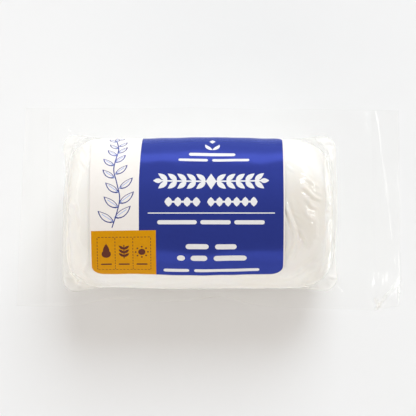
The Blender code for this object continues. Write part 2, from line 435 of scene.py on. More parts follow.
@dataclass(frozen=True)
class Viewpoint:
    """Where the photograph was taken from: above the label and a little to its front."""

    target: Triple = (-0.3 * MM, -0.2 * MM, 19.0 * MM)
    distance: float = 0.8
    tilt: float = math.radians(13.0)
    pixels: int = 416
    pixel: float = 0.2933 * MM
    sensor: float = 36.0

    def toward(self) -> np.ndarray:
        """The direction from the target to the camera."""
        return np.array([0.0, -math.sin(self.tilt), math.cos(self.tilt)])

    def seen(self, points: np.ndarray) -> np.ndarray:
        """Where points appear from here, as right and up on the plane through the target.

        Args:
            points: Points, one row each.

        Returns:
            Each point's place, one row each.
        """
        offset = points - np.array(self.target)
        nearer = self.distance / (self.distance - offset @ self.toward())
        up = offset @ np.array([0.0, math.cos(self.tilt), math.sin(self.tilt)])
        return np.stack([self.target[0] + offset[:, 0] * nearer, self.target[1] + up * nearer], axis=1)

    def place_camera(self) -> None:
        """Makes the scene's camera."""
        lens = bpy.data.cameras.new("camera")
        lens.sensor_width = self.sensor
        lens.lens = self.sensor * self.distance / (self.pixels * self.pixel)
        placed = bpy.data.objects.new("camera", lens)
        placed.location = Vector(self.target) + Vector(self.toward()) * self.distance
        placed.rotation_euler = (self.tilt, 0.0, 0.0)
        bpy.context.scene.collection.objects.link(placed)
        bpy.context.scene.camera = placed


@dataclass(frozen=True)
class Crease:
    """A ridge in the film along a route, with a valley to the left and one to the right of its heading.

    Its height and width are millimetres, and its route's places are millimetres right of and above the pack's
    middle as it is seen over the label. Its valleys' place and width and its reach are counted in its widths.
    It fades in and out over this share of its length.
    """

    route: tuple[Place, ...]
    height: float
    width: float
    valleys: tuple[float, float] = (0.3, 0.3)
    fade: float = 0.3
    sharpness: float = 1.5
    valley_place: float = 1.9
    valley_width: float = 0.9
    reach: float = 4.0

    def relief(self, seen: np.ndarray) -> np.ndarray:
        """How far this crease lifts the film.

        Args:
            seen: Places as they are seen, one row each.

        Returns:
            The lift at each place.
        """
        line = smooth_route(self.route) * MM
        width = self.width * MM
        margin = self.reach * width
        near = np.all((seen >= line.min(axis=0) - margin) & (seen <= line.max(axis=0) + margin), axis=1)
        lifted = np.zeros(len(seen))
        if not near.any():
            return lifted
        spans = np.diff(line, axis=0)
        offset = seen[near][:, None, :] - line[None, :-1]
        share = np.clip((offset * spans).sum(axis=2) / (spans**2).sum(axis=1), 0.0, 1.0)
        gap = np.linalg.norm(offset - share[:, :, None] * spans, axis=2)
        closest = gap.argmin(axis=1)
        row = np.arange(len(closest))
        away = gap[row, closest] / width
        along = (closest + share[row, closest]) / len(spans)
        taper = eased(along / self.fade) * eased((1.0 - along) / self.fade)
        heading = spans[closest]
        nearest = offset[row, closest]
        leftward = heading[:, 0] * nearest[:, 1] - heading[:, 1] * nearest[:, 0] > 0.0
        valley = np.where(leftward, self.valleys[0], self.valleys[1])
        ridge = np.exp(-(away**self.sharpness)) - valley * bell(away - self.valley_place, self.valley_width)
        lifted[near] = self.height * MM * ridge * taper
        return lifted


@dataclass(frozen=True)
class Ripples:
    """A slow unevenness made of a few waves in seeded directions."""

    height: float
    length: float
    count: int
    seed: int
    spread: Place = (0.7, 1.5)

    def relief(self, seen: np.ndarray) -> np.ndarray:
        """How far the waves lift the film.

        Args:
            seen: Places as they are seen, one row each.

        Returns:
            The lift at each place.
        """
        draw = random.Random(self.seed)
        lifted = np.zeros(len(seen))
        for _ in range(self.count):
            heading = draw.uniform(0.0, math.pi)
            phase = draw.uniform(0.0, 2.0 * math.pi)
            length = self.length * draw.uniform(*self.spread)
            along = seen @ np.array([math.cos(heading), math.sin(heading)])
            lifted += np.sin(2.0 * math.pi * along / length + phase)
        return lifted * self.height / math.sqrt(self.count)


@dataclass(frozen=True)
class CreaseRange:
    """The ranges that small seeded creases are drawn from: their heights and widths in millimetres."""

    heights: Place
    widths: Place
    sway: float
    fade: float


GATHER = CreaseRange(heights=(0.16, 0.42), widths=(0.35, 0.6), sway=math.radians(18.0), fade=0.45)
GATHER_PLACES = (0.12, 0.5, 1.0)
GATHER_JITTER = (0.2, 0.8)
CRUMPLE = CreaseRange(heights=(0.05, 0.16), widths=(0.3, 0.5), sway=0.5, fade=0.5)
CRUMPLE_HALVES = (0.9, 2.8)


def gathers(centre: Place, headings: Place, lengths: Place, count: int, seed: int) -> list[Crease]:
    """Small seeded creases that fan out from a pinched corner.

    Args:
        centre: Where they start, in millimetres as seen.
        headings: The first and last heading in degrees.
        lengths: The shortest and longest in millimetres.
        count: How many there are.
        seed: The seed of their draw.

    Returns:
        The creases.
    """
    draw = random.Random(seed)
    made = []
    for step in range(count):
        heading = math.radians(between(*headings, (step + draw.uniform(*GATHER_JITTER)) / count))
        length = draw.uniform(*lengths)
        sway = draw.uniform(-GATHER.sway, GATHER.sway)
        route = []
        for share in GATHER_PLACES:
            turned = heading + sway * share
            across = centre[0] + length * share * math.cos(turned)
            route.append((across, centre[1] + length * share * math.sin(turned)))
        height = draw.uniform(*GATHER.heights)
        made.append(Crease(tuple(route), height, draw.uniform(*GATHER.widths), fade=GATHER.fade))
    return made


def crumple(low: Place, high: Place, headings: Place, count: int, seed: int) -> list[Crease]:
    """Short faint seeded wrinkles that are strewn over a part of the film.

    Args:
        low: The lower left place of the part, in millimetres as seen.
        high: Its upper right place.
        headings: The lowest and highest heading in degrees.
        count: How many there are.
        seed: The seed of their draw.

    Returns:
        The creases.
    """
    draw = random.Random(seed)
    made = []
    for _ in range(count):
        u = draw.uniform(low[0], high[0])
        v = draw.uniform(low[1], high[1])
        heading = math.radians(draw.uniform(*headings))
        half = draw.uniform(*CRUMPLE_HALVES)
        sway = draw.uniform(-CRUMPLE.sway, CRUMPLE.sway)
        step = (math.cos(heading) * half, math.sin(heading) * half)
        middle = (u - step[1] * sway * 0.5, v + step[0] * sway * 0.5)
        route = ((u - step[0], v - step[1]), middle, (u + step[0], v + step[1]))
        height = draw.uniform(*CRUMPLE.heights)
        made.append(Crease(route, height, draw.uniform(*CRUMPLE.widths), fade=CRUMPLE.fade))
    return made


@dataclass(frozen=True)
class Relief:
    """All the creases and ripples of a sheet of film, as seen over the label.

    On the log they fade out near the seam and where the surface is seen edge on.
    """

    creases: tuple[Crease, ...]
    ripples: tuple[Ripples, ...]
    view: Viewpoint
    seam_fade: float = 2.0 * MM
    edge_fade: float = 0.35

    def lift(self, points: np.ndarray) -> np.ndarray:
        """How far the film stands off its smooth form.

        Args:
            points: Points of the film, in an array of any shape.

        Returns:
            The lift at each point.
        """
        seen = self.view.seen(points.reshape(-1, 3))
        total = np.zeros(len(seen))
        for part in (*self.creases, *self.ripples):
            total += part.relief(seen)
        return total.reshape(points.shape[:-1])

    def shown(self, rise: np.ndarray, normals: np.ndarray) -> np.ndarray:
        """How much of the relief the log takes at these heights above the seam, with these normals."""
        return eased(rise / self.seam_fade) * eased((normals @ self.view.toward()) / self.edge_fade)


def seeded(maker: Callable[..., list[Crease]], rows: Sequence[tuple], first: int) -> tuple[Crease, ...]:
    """The creases of several calls of a maker, each with the next seed.

    Args:
        maker: gathers or crumple.
        rows: The other arguments of each call.
        first: The first call's seed.

    Returns:
        All their creases.
    """
    return tuple(crease for seed, row in enumerate(rows, first) for crease in maker(*row, seed))


def log_creases() -> tuple[Crease, ...]:
    """The creases over the log: a fan of folds at its right end and soft pleats at its left end.

    Returns:
        The creases.
    """
    right = [
        Crease(((27.0, 6.6), (28.6, 5.3), (30.1, 3.8), (31.8, 2.6), (33.9, 1.9)), 0.95, 0.5, (0.35, 0.25)),
        Crease(((28.4, 3.4), (29.3, 1.7), (30.3, 0.4), (32.5, -0.5)), 0.8, 0.5, (0.3, 0.3)),
        Crease(((28.0, 9.4), (30.5, 7.2), (33.2, 5.4)), 0.35, 0.5),
        Crease(((27.6, 0.2), (29.2, -2.6), (31.2, -3.6)), 0.3, 0.5),
        Crease(
            (
                (22.3, 3.4), (22.9, -0.4), (24.2, -3.9), (25.5, -7.6), (25.6, -10.9), (24.7, -13.6),
                (22.6, -16.8),
            ),
            0.8, 0.5, (0.3, 0.8), fade=0.2,
        ),
        Crease(((25.6, -6.6), (26.9, -8.9), (28.6, -11.6)), -0.6, 0.45),
        Crease(((33.8, -13.5), (29.9, -16.3), (25.2, -19.6), (20.0, -21.2)), 0.7, 0.5, (0.6, 0.2)),
        Crease(((32.8, -17.4), (27.6, -19.8)), 0.35, 0.45, (0.6, 0.2)),
        Crease(((26.9, -18.0), (23.8, -21.4), (19.0, -22.9)), 0.3, 0.5),
        Crease(((26.8, -22.0), (29.0, -22.8), (31.6, -24.4)), 0.6, 0.5),
        Crease(((34.8, 10.5), (35.7, -2.3), (35.6, -12.5), (35.0, -20.0)), 0.45, 0.6, fade=0.2),
        Crease(((34.0, -3.0), (34.5, -11.1), (33.9, -18.4)), 0.3, 0.45),
        Crease(((33.6, 17.2), (34.8, 13.0), (35.2, 8.0)), 0.4, 0.5),
    ]
    left = [
        Crease(((-41.2, 6.2), (-40.7, 1.9), (-39.3, -0.4), (-38.7, -8.0)), 0.42, 0.45, (0.2, 0.6)),
        Crease(((-37.0, 18.2), (-37.8, 14.5), (-36.1, 12.1), (-35.2, 10.0)), 0.55, 0.55),
        Crease(((-39.3, 17.4), (-38.7, 13.9), (-37.8, 11.0)), 0.42, 0.5),
        Crease(((-39.7, 17.0), (-40.9, 14.0)), -0.35, 0.45),
        Crease(((-35.4, -15.4), (-36.8, -19.0), (-34.6, -21.4)), 0.4, 0.5),
        Crease(((-42.0, 13.9), (-42.3, 5.1), (-42.5, -6.7), (-43.1, -14.0)), 0.35, 0.5, fade=0.2),
        Crease(((-42.2, -17.0), (-39.9, -19.3), (-37.4, -21.7)), 0.6, 0.55, (0.3, 0.7)),
    ]
    strewn = (
        ((24.0, -20.0), (35.0, 15.0), (-75.0, -20.0), 34),
        ((-42.0, -18.0), (-35.0, 16.0), (60.0, 120.0), 16),
        ((-30.0, -24.0), (24.0, -21.5), (-20.0, 20.0), 12),
    )
    return (*right, *left, *seeded(crumple, strewn, 11))


def corner_creases() -> tuple[Crease, ...]:
    """The gathers that fan out of the log's four pinched corners, over the log and the border alike.

    Returns:
        The creases.
    """
    fans = (
        ((-39.5, 19.5), (95.0, 215.0), (4.0, 9.5), 9),
        ((-39.5, 19.5), (-75.0, -25.0), (3.0, 6.5), 4),
        ((-39.8, -21.0), (150.0, 262.0), (4.0, 9.0), 8),
        ((33.5, 19.0), (-30.0, 85.0), (4.0, 9.0), 8),
        ((34.5, -20.5), (-95.0, 10.0), (4.0, 9.0), 8),
    )
    return seeded(gathers, fans, 21)


def border_creases() -> tuple[Crease, ...]:
    """The creases of the film's border, where it was sealed, trimmed and handled.

    Returns:
        The creases.
    """
    drawn = [
        Crease(
            ((48.6, 29.2), (49.3, 22.7), (50.2, 15.3), (51.3, 7.4), (52.0, 1.0), (53.0, -6.9), (53.4, -12.0)),
            0.5, 0.45, fade=0.12,
        ),
        Crease(((45.6, 28.9), (45.7, 22.5)), 0.4, 0.45),
        Crease(((44.4, 26.4), (46.2, 21.6)), 0.3, 0.45),
        Crease(((-47.3, 8.4), (-47.4, -14.2)), 0.3, 0.5),
        Crease(((-52.9, 30.0), (-52.8, 20.0)), 0.45, 0.45),
        Crease(((55.8, -20.2), (52.5, -24.4), (48.3, -28.6)), 0.5, 0.75, fade=0.15),
        Crease(((48.2, -19.4), (47.4, -24.0), (47.1, -28.6)), 0.35, 0.45),
        Crease(((48.2, 28.8), (48.1, 14.2)), 0.28, 0.45),
        Crease(((21.1, 28.4), (26.2, 26.4)), 0.35, 0.5),
    ]
    strewn = (
        ((-54.0, -26.0), (-44.5, 27.0), (80.0, 100.0), 16),
        ((44.0, -26.0), (54.0, 27.0), (82.0, 102.0), 16),
        ((-34.0, 23.5), (36.0, 28.0), (40.0, 150.0), 14),
        ((-34.0, -28.0), (36.0, -24.5), (40.0, 150.0), 16),
    )
    return (*drawn, *seeded(crumple, strewn, 31))


def node_operator(operation: str, turned: bool = False) -> Callable[..., "Value"]:
    """The method behind one of Python's operators, which adds a Math node.

    Args:
        operation: The Math node's operation.
        turned: Whether the value stands on the operator's right.

    Returns:
        The method.
    """

    def method(value: "Value", *others: Any) -> "Value":
        """Adds the node and gives its result."""
        return value.math(operation, *((*others, value) if turned else (value, *others)))

    return method


class Value:
    """A node's output that Python's operators work on, each adding a Math node."""

    __add__ = node_operator("ADD")
    __radd__ = node_operator("ADD", turned=True)
    __sub__ = node_operator("SUBTRACT")
    __rsub__ = node_operator("SUBTRACT", turned=True)
    __mul__ = node_operator("MULTIPLY")
    __rmul__ = node_operator("MULTIPLY", turned=True)
    __truediv__ = node_operator("DIVIDE")
    __pow__ = node_operator("POWER")
    __abs__ = node_operator("ABSOLUTE")

    def __init__(self, graph: "Graph", socket: bpy.types.NodeSocket) -> None:
        """Wraps a socket of the graph."""
        self.graph = graph
        self.socket = socket

    def math(self, operation: str, *terms: Any) -> "Value":
        """A Math node's result on these terms."""
        made = self.graph.node("ShaderNodeMath", {"operation": operation}, dict(enumerate(terms)))
        return Value(self.graph, made.outputs[0])

    def above(self, start: float, stop: float) -> "Value":
        """A smooth step up from 0 to 1.

        Args:
            start: Where this value gives 0.
            stop: Where it gives 1.

        Returns:
            The step.
        """
        settings = {"interpolation_type": "SMOOTHSTEP"}
        inputs = {"Value": self, "From Min": start, "From Max": stop}
        return self.graph.value("ShaderNodeMapRange", "Result", settings, inputs)

    def wave(self, length: float) -> "Value":
        """A sine of this value with this wavelength."""
        return self.math("SINE", self * (2.0 * math.pi / length))


class Graph:
    """A node tree that makes each node from its type, settings and inputs."""

    def __init__(self, owner: bpy.types.Material | bpy.types.World) -> None:
        """Clears the owner's nodes and starts its tree.

        Args:
            owner: The material or world whose tree this is.
        """
        owner.use_nodes = True
        self.tree = owner.node_tree
        self.tree.nodes.clear()

    def node(self, kind: str, settings: dict[str, Any] | None = None,
             inputs: dict[Any, Any] | None = None) -> Any:
        """Makes a node.

        Args:
            kind: The node's type.
            settings: Its properties, which are set first. stops holds a ramp's places and colours.
            inputs: Values or links of its sockets, by name or number.

        Returns:
            The node.
        """
        made = self.tree.nodes.new(kind)
        for name, value in (settings or {}).items():
            if name == "stops":
                self._set_stops(made.color_ramp, value)
            else:
                setattr(made, name, value)
        for name, value in (inputs or {}).items():
            self._feed(made.inputs[name], value)
        return made

    def _set_stops(self, ramp: bpy.types.ColorRamp, stops: Sequence[tuple[float, Colour]]) -> None:
        """Gives a ramp its stops.

        Args:
            ramp: The ramp.
            stops: Its places and colours, in order.
        """
        while len(ramp.elements) < len(stops):
            ramp.elements.new(1.0)
        for element, (place, colour) in zip(ramp.elements, stops):
            element.position = place
            element.color = (*colour, 1.0)

    def _feed(self, socket: bpy.types.NodeSocket, value: Any) -> None:
        """Links a value, a socket or a plain number or colour to a socket.

        Args:
            socket: The socket to feed.
            value: A value, a socket, a number or a colour.
        """
        if isinstance(value, Value):
            value = value.socket
        if isinstance(value, bpy.types.NodeSocket):
            self.tree.links.new(value, socket)
        elif socket.type == "RGBA" and len(value) == 3:
            socket.default_value = (*value, 1.0)
        else:
            socket.default_value = value

    def value(self, kind: str, output: str, settings: dict[str, Any] | None = None,
              inputs: dict[Any, Any] | None = None) -> Value:
        """The named output of a new node, for use in expressions."""
        return Value(self, self.node(kind, settings, inputs).outputs[output])

    def place(self) -> Value:
        """The place on the piece, in metres."""
        return self.value("ShaderNodeTexCoord", "Object")

    def axis(self, name: str) -> Value:
        """One coordinate of the place on the piece, in metres."""
        return self.value("ShaderNodeSeparateXYZ", name, inputs={0: self.place()})

    def noise(self, grain: float, detail: float = 3.0, rough: float = 0.5) -> Value:
        """Noise whose spots are about this many metres wide."""
        inputs = {"Vector": self.place(), "Scale": 1.0 / grain, "Detail": detail, "Roughness": rough}
        return self.value("ShaderNodeTexNoise", "Fac", inputs=inputs)

    def mixed(self, share: Any, first: Any, second: Any) -> Value:
        """A colour between two others."""
        made = self.node("ShaderNodeMix", {"data_type": "RGBA"}, {0: share, 6: first, 7: second})
        return Value(self, made.outputs[2])

    def bump(self, height: Value, depth: float) -> Value:
        """A normal from a height of 0 to 1 that is this deep in metres."""
        inputs = {"Height": height, "Distance": depth, "Strength": 1.0}
        return self.value("ShaderNodeBump", "Normal", inputs=inputs)

    def finish(self, shader: Any) -> None:
        """Links the shader to the tree's surface."""
        self.node("ShaderNodeOutputMaterial", inputs={"Surface": shader})


def new_material(name: str) -> tuple[bpy.types.Material, Graph]:
    """A named material and its empty graph."""
    material = bpy.data.materials.new(name)
    return material, Graph(material)


@dataclass(frozen=True)
class CheeseFinish:
    """Soft white fresh cheese with a slow drift of tint, a painted shade on its right shoulder, a fine curd
    and a glow.
    """

    pale: Colour = (0.866, 0.852, 0.820)
    warm: Colour = (0.842, 0.816, 0.768)
    # Painted shade: a darker, warmer colour laid on the right shoulder, where it turns away from the light
    painted_shade: Colour = (0.782, 0.738, 0.670)
    painted_shade_place: Triple = (30.0 * MM, -4.0 * MM, 38.0 * MM)
    painted_shade_spread: Place = (5.0 * MM, 15.0 * MM)
    roughness: float = 0.5
    gloss: float = 0.12
    glow: float = 0.2
    glow_depth: float = 1.4 * MM
    glow_colour: Triple = (1.0, 0.75, 0.5)
    drift: float = 14.0 * MM
    drift_band: Place = (0.35, 0.65)
    curd: float = 0.9 * MM
    curd_share: float = 0.25
    curd_roughness: float = 0.12
    curd_depth: float = 0.045 * MM

    def material(self) -> bpy.types.Material:
        """The cheese's material.

        Returns:
            The material.
        """
        material, graph = new_material("fresh_cheese")
        drift = graph.noise(self.drift, detail=2.0).above(*self.drift_band)
        curd = graph.noise(self.curd, detail=4.0, rough=0.6)
        # A round patch of painted shade on the right shoulder, darkest at its middle and fading out over its
        # spread
        gap = graph.value("ShaderNodeVectorMath", "Value", {"operation": "DISTANCE"},
                          {0: graph.place(), 1: self.painted_shade_place})
        painted_shade = 1.0 - gap.above(*self.painted_shade_spread)
        paleness = (1.0 - self.curd_share) * drift + self.curd_share * curd
        tint = graph.mixed(paleness, self.warm, self.pale)
        shader = graph.node("ShaderNodeBsdfPrincipled", {"subsurface_method": "RANDOM_WALK"}, {
            "Base Color": graph.mixed(painted_shade, tint, self.painted_shade),
            "Roughness": self.roughness + self.curd_roughness * curd,
            "Specular IOR Level": self.gloss,
            "Subsurface Weight": self.glow,
            "Subsurface Radius": self.glow_colour,
            "Subsurface Scale": self.glow_depth,
            "Normal": graph.bump(curd, self.curd_depth),
        })
        graph.finish(shader.outputs[0])
        return material


# The sharp folds at the border's bent corner, from end to end as seen from above
CORNER_FOLDS = (
    ((55.9 * MM, -21.7 * MM), (48.6 * MM, -30.2 * MM)),
    ((55.4 * MM, -24.2 * MM), (55.3 * MM, -28.6 * MM)),
    ((48.3 * MM, -27.6 * MM), (49.9 * MM, -29.9 * MM)),
)


@dataclass(frozen=True)
class FilmFinish:
    """Clear glossy vacuum film: a mirror sheen that grows where it is seen edge on, a haze and ribbed seals.

    The pockets are the film at the log's corners that the cheese doesn't fill, where it looks milky.
    """

    name: str
    head_on: float = 0.02
    edge_on: float = 0.3
    edge_power: float = 5.0
    haze: float = 0.0
    seal_haze: float = 0.0
    pocket_haze: float = 0.0
    pocket_centre: Place = (-2.7 * MM, -1.7 * MM)
    pocket_start: Place = (37.6 * MM, 22.3 * MM)
    pocket_power: float = 6.0
    pocket_band: Place = (0.85, 1.35)
    tint: Colour = (0.998, 0.998, 0.997)
    sheen: Colour = (0.97, 0.975, 0.98)
    milky: Colour = (0.890, 0.878, 0.840)
    roughness: float = 0.1
    crinkle: float = 1.6 * MM
    crinkle_depth: float = 0.035 * MM
    folds: tuple[tuple[Place, Place], ...] = ()
    fold_haze_and_highlight: float = 0.5
    fold_width: float = 0.8 * MM
    seal_start: tuple[float, float] = (-47.3 * MM, 48.0 * MM)
    seal_soft: float = 0.4 * MM
    rib: float = 1.25 * MM
    rib_depth: float = 0.03 * MM

    def fold_marks(self, x: Value, y: Value) -> Value | float:
        """Where the film is whitened along its sharp folds: partly the crease's own whitening, partly a
        painted highlight.

        Args:
            x: The place along the log.
            y: The place across it.

        Returns:
            1 on a fold and 0 off all of them.
        """
        marks = 0.0
        soft = self.fold_width
        for start, end in self.folds:
            length = math.dist(start, end)
            along_x, along_y = ((end[axis] - start[axis]) / length for axis in range(2))
            along = (x - start[0]) * along_x + (y - start[1]) * along_y
            aside = abs((x - start[0]) * along_y - (y - start[1]) * along_x)
            line = (1.0 - aside.above(0.0, soft)) * along.above(-soft, soft)
            marks = marks + line * (1.0 - along.above(length - soft, length + soft))
        return marks

    def material(self) -> bpy.types.Material:
        """The film's material.

        Returns:
            The material.
        """
        material, graph = new_material(self.name)
        x = graph.axis("X")
        left, right = (x.above(start - self.seal_soft, start + self.seal_soft) for start in self.seal_start)
        seal = 1.0 - left + right
        crinkle = graph.noise(self.crinkle, detail=3.0)
        ribs = x.wave(self.rib) * seal * (0.5 * self.rib_depth / self.crinkle_depth)
        normal = graph.bump(crinkle + ribs, self.crinkle_depth)
        facing = graph.value("ShaderNodeLayerWeight", "Facing", inputs={"Blend": 0.5, "Normal": normal})
        mirror = self.head_on + self.edge_on * facing**self.edge_power
        y = graph.axis("Y")
        across = abs(x - self.pocket_centre[0]) / self.pocket_start[0]
        up = abs(y - self.pocket_centre[1]) / self.pocket_start[1]
        pocket = (across**self.pocket_power + up**self.pocket_power).above(*self.pocket_band)
        milk = self.haze + seal * (self.seal_haze * 0.5 * (1.0 + crinkle)) + pocket * self.pocket_haze
        # Along the folds the film turns a lit white: partly its own crease whitening, partly a painted
        # highlight
        share = mirror + milk + self.fold_marks(x, y) * (self.fold_haze_and_highlight * crinkle)
        gloss = graph.node("ShaderNodeBsdfPrincipled", inputs={
            "Base Color": graph.mixed(pocket, self.sheen, self.milky),
            "Metallic": mirror / share,
            "Roughness": self.roughness,
            "Normal": normal,
        })
        clear = graph.node("ShaderNodeBsdfTransparent", inputs={"Color": self.tint})
        mixed = graph.node("ShaderNodeMixShader", inputs={0: share, 1: clear.outputs[0], 2: gloss.outputs[0]})
        graph.finish(mixed.outputs[0])
        return material


@dataclass(frozen=True)
class InkFinish:
    """A printed ink on the satin label, with slight mottling and the label's soft tooth."""

    name: str
    base: Colour
    worn: Colour
    metallic: float = 0.0
    roughness: float = 0.35
    edge_tint: Colour = WHITE
    gloss: float = 0.06
    mottle: float = 1.1 * MM
    mottle_band: Place = (0.3, 0.7)
    drift: float = 9.9 * MM
    drift_roughness: float = 0.06
    tooth: float = 0.6 * MM
    tooth_depth: float = 0.005 * MM

    def material(self) -> bpy.types.Material:
        """The ink's material.

        Returns:
            The material.
        """
        material, graph = new_material(self.name)
        mottle = graph.noise(self.mottle, detail=3.0).above(*self.mottle_band)
        drift = graph.noise(self.drift, detail=1.0)
        tooth = graph.noise(self.tooth, detail=2.0)
        shader = graph.node("ShaderNodeBsdfPrincipled", inputs={
            "Base Color": graph.mixed(0.5 * mottle + 0.5 * drift, self.worn, self.base),
            "Metallic": self.metallic,
            "Roughness": self.roughness + self.drift_roughness * drift,
            "Specular IOR Level": self.gloss,
            "Specular Tint": self.edge_tint,
            "Normal": graph.bump(tooth, self.tooth_depth),
        })
        graph.finish(shader.outputs[0])
        return material


@dataclass(frozen=True)
class FloorFinish:
    """A plain pale studio floor."""

    base: Colour = (0.875, 0.872, 0.870)
    shade: Colour = (0.865, 0.862, 0.860)
    roughness: float = 0.85
    gloss: float = 0.2
    grain: float = 60.0 * MM

    def material(self) -> bpy.types.Material:
        """The floor's material.

        Returns:
            The material.
        """
        material, graph = new_material("pale_floor")
        shader = graph.node("ShaderNodeBsdfPrincipled", inputs={
            "Base Color": graph.mixed(graph.noise(self.grain), self.shade, self.base),
            "Roughness": self.roughness,
            "Specular IOR Level": self.gloss,
        })
        graph.finish(shader.outputs[0])
        return material


def placed_mesh(name: str, points: np.ndarray, faces: Iterable[Sequence[int]],
                materials: Sequence[bpy.types.Material]) -> bpy.types.Object:
    """Makes a smooth mesh object and links it to the scene.

    Args:
        name: The object's name.
        points: Its points, one row each.
        faces: Each face's points by number.
        materials: Its materials.

    Returns:
        The object.
    """
    mesh = bpy.data.meshes.new(name)
    mesh.from_pydata(points.tolist(), [], [tuple(int(point) for point in face) for face in faces])
    mesh.shade_smooth()
    for material in materials:
        mesh.materials.append(material)
    placed = bpy.data.objects.new(name, mesh)
    bpy.context.scene.collection.objects.link(placed)
    return placed


def quads(numbers: np.ndarray) -> np.ndarray:
    """The quads between the rows of a grid of point numbers."""
    first, second = numbers[:-1], numbers[1:]
    return np.stack([first[:, :-1], first[:, 1:], second[:, 1:], second[:, :-1]], axis=-1).reshape(-1, 4)


def fan(tip: int, rim: np.ndarray) -> list[tuple[int, int, int]]:
    """Triangles from a tip to each stretch of a rim."""
    return [(tip, int(first), int(second)) for first, second in zip(rim, rim[1:])]


def grid_normals(grid: np.ndarray) -> np.ndarray:
    """The outward normals of a grid of points, by ring and by angle."""
    return unit(np.cross(np.gradient(grid, axis=1), np.gradient(grid, axis=0)))


@dataclass
class CheeseLog:
    """The cheese: the log's form a little inside its film, with the film's folds pressed softly into it."""

    form: LogForm
    relief: Relief
    finish: CheeseFinish = field(default_factory=CheeseFinish)
    fineness: Fineness = Fineness(34, 30, ((-1.0, -0.86, 10), (-0.86, 0.66, 40), (0.66, 1.0, 42)))
    around: int = 420
    inset: float = 0.2 * MM
    softness: float = 0.65
    deepest: float = 1.5 * MM

    def build(self) -> bpy.types.Object:
        """Makes the log as one closed skin.

        Returns:
            The piece.
        """
        angles = np.linspace(0.0, 2.0 * math.pi, self.around, endpoint=False)
        grid = self.form.rings(self.fineness, angles)
        wrapped = np.concatenate([grid[:, -1:], grid, grid[:, :1]], axis=1)
        normals = grid_normals(wrapped)[:, 1:-1]
        lift = self.relief.lift(grid) * self.relief.shown(grid[:, :, 2] - self.form.centre[2], normals)
        pressed = self.softness * lift / (1.0 + np.abs(lift) / self.deepest)
        grid = grid + normals * (pressed - self.inset)[:, :, None]
        grid[:, :, 2] = np.maximum(grid[:, :, 2], self.inset)
        tips = [self.form.tip(end) - np.array([end.value * self.inset, 0.0, 0.0]) for end in End]
        points = np.vstack([grid.reshape(-1, 3), *tips])
        numbers = np.arange(grid.shape[0] * grid.shape[1]).reshape(grid.shape[:2])
        numbers = np.concatenate([numbers, numbers[:, :1]], axis=1)
        left_tip = len(points) - 2
        faces = [*quads(numbers), *fan(left_tip, numbers[0][::-1]), *fan(left_tip + 1, numbers[-1])]
        piece = placed_mesh("soft_cheese", points, faces, [self.finish.material()])
        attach(piece, BODY)
        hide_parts("cheese_log")
        return piece


@dataclass
class LabelSheet:
    """Where the label lies on the log's film, in millimetres right of its left edge and up round the log.

    It spans from its front angle to its back angle, both from the crown, and its top edge sags a little at
    the left. The margin is the unprinted rim round the print.
    """

    form: LogForm
    left: float = -33.7
    length: float = 55.0
    height: float = 52.3
    back_angle: float = math.radians(69.0)
    front_angle: float = math.radians(66.0)
    corner: float = 3.8
    margin: float = 0.45
    sag: float = 2.4
    sag_length: float = 20.0
    lift: float = 0.2 * MM

    def wrapped(self, places: np.ndarray, lift: np.ndarray | float) -> np.ndarray:
        """Wraps places of the flat label round the log.

        Args:
            places: Places on the label in millimetres.
            lift: How far the points stand off the log.

        Returns:
            The points, one row each.
        """
        along = (self.left + places[:, 0]) * MM - self.form.centre[0]
        rise = places[:, 1] / self.height
        slack = self.sag / self.height * np.clip(1.0 - places[:, 0] / self.sag_length, 0.0, 1.0) ** 2
        turn = rise * (1.0 - slack * np.abs(rise)) * (self.front_angle + self.back_angle)
        angles = math.pi / 2.0 + self.front_angle - turn
        across, up = self.form.section(angles)
        grown = 1.0 + self.form.lump(along, angles) / self.form.half_width
        points = np.stack([along, across * grown, up * grown], axis=1)
        steepness = (np.zeros_like(along), across / self.form.half_width**2, up / self.form.crown**2)
        outward = unit(np.stack(steepness, axis=1))
        return points + outward * np.reshape(lift, (-1, 1)) + np.array(self.form.centre)

    def rounded(self, ink: "Ink", margin: float) -> "Bar":
        """The label's outline with its round corners.

        Args:
            ink: The outline's ink.
            margin: How much larger it is all round than the print, in millimetres.

        Returns:
            The outline as a bar.
        """
        far, high = self.length + margin, self.height + margin
        roundness = 2.0 * (self.corner + margin) / min(far + margin, high + margin)
        return Bar(ink, -margin, far, -margin, high, roundness, 8)

    def cover(self, grid: np.ndarray, soft: float) -> np.ndarray:
        """How much of the label lies under each point of the film.

        Args:
            grid: Points of the film, by ring and by angle.
            soft: How far outside the label's edge it is felt.

        Returns:
            Shares from 0 off the label to 1 on it.
        """
        local = grid - np.array(self.form.centre)
        angle = np.arctan2(local[:, :, 2] / self.form.crown, local[:, :, 1] / self.form.half_width)
        u = grid[:, :, 0] / MM - self.left
        v = (math.pi / 2.0 + self.front_angle - angle) / (self.front_angle + self.back_angle) * self.height
        inside = np.minimum(np.minimum(u, self.length - u), np.minimum(v, self.height - v)) + self.margin
        return eased(1.0 + inside * MM / soft)


class Ink(Enum):
    """The label's inks, in the order of its materials."""

    BLUE = 0
    CREAM = 1
    OCHRE = 2
    BROWN = 3
    WHITE = 4
    PALE_BLUE = 5


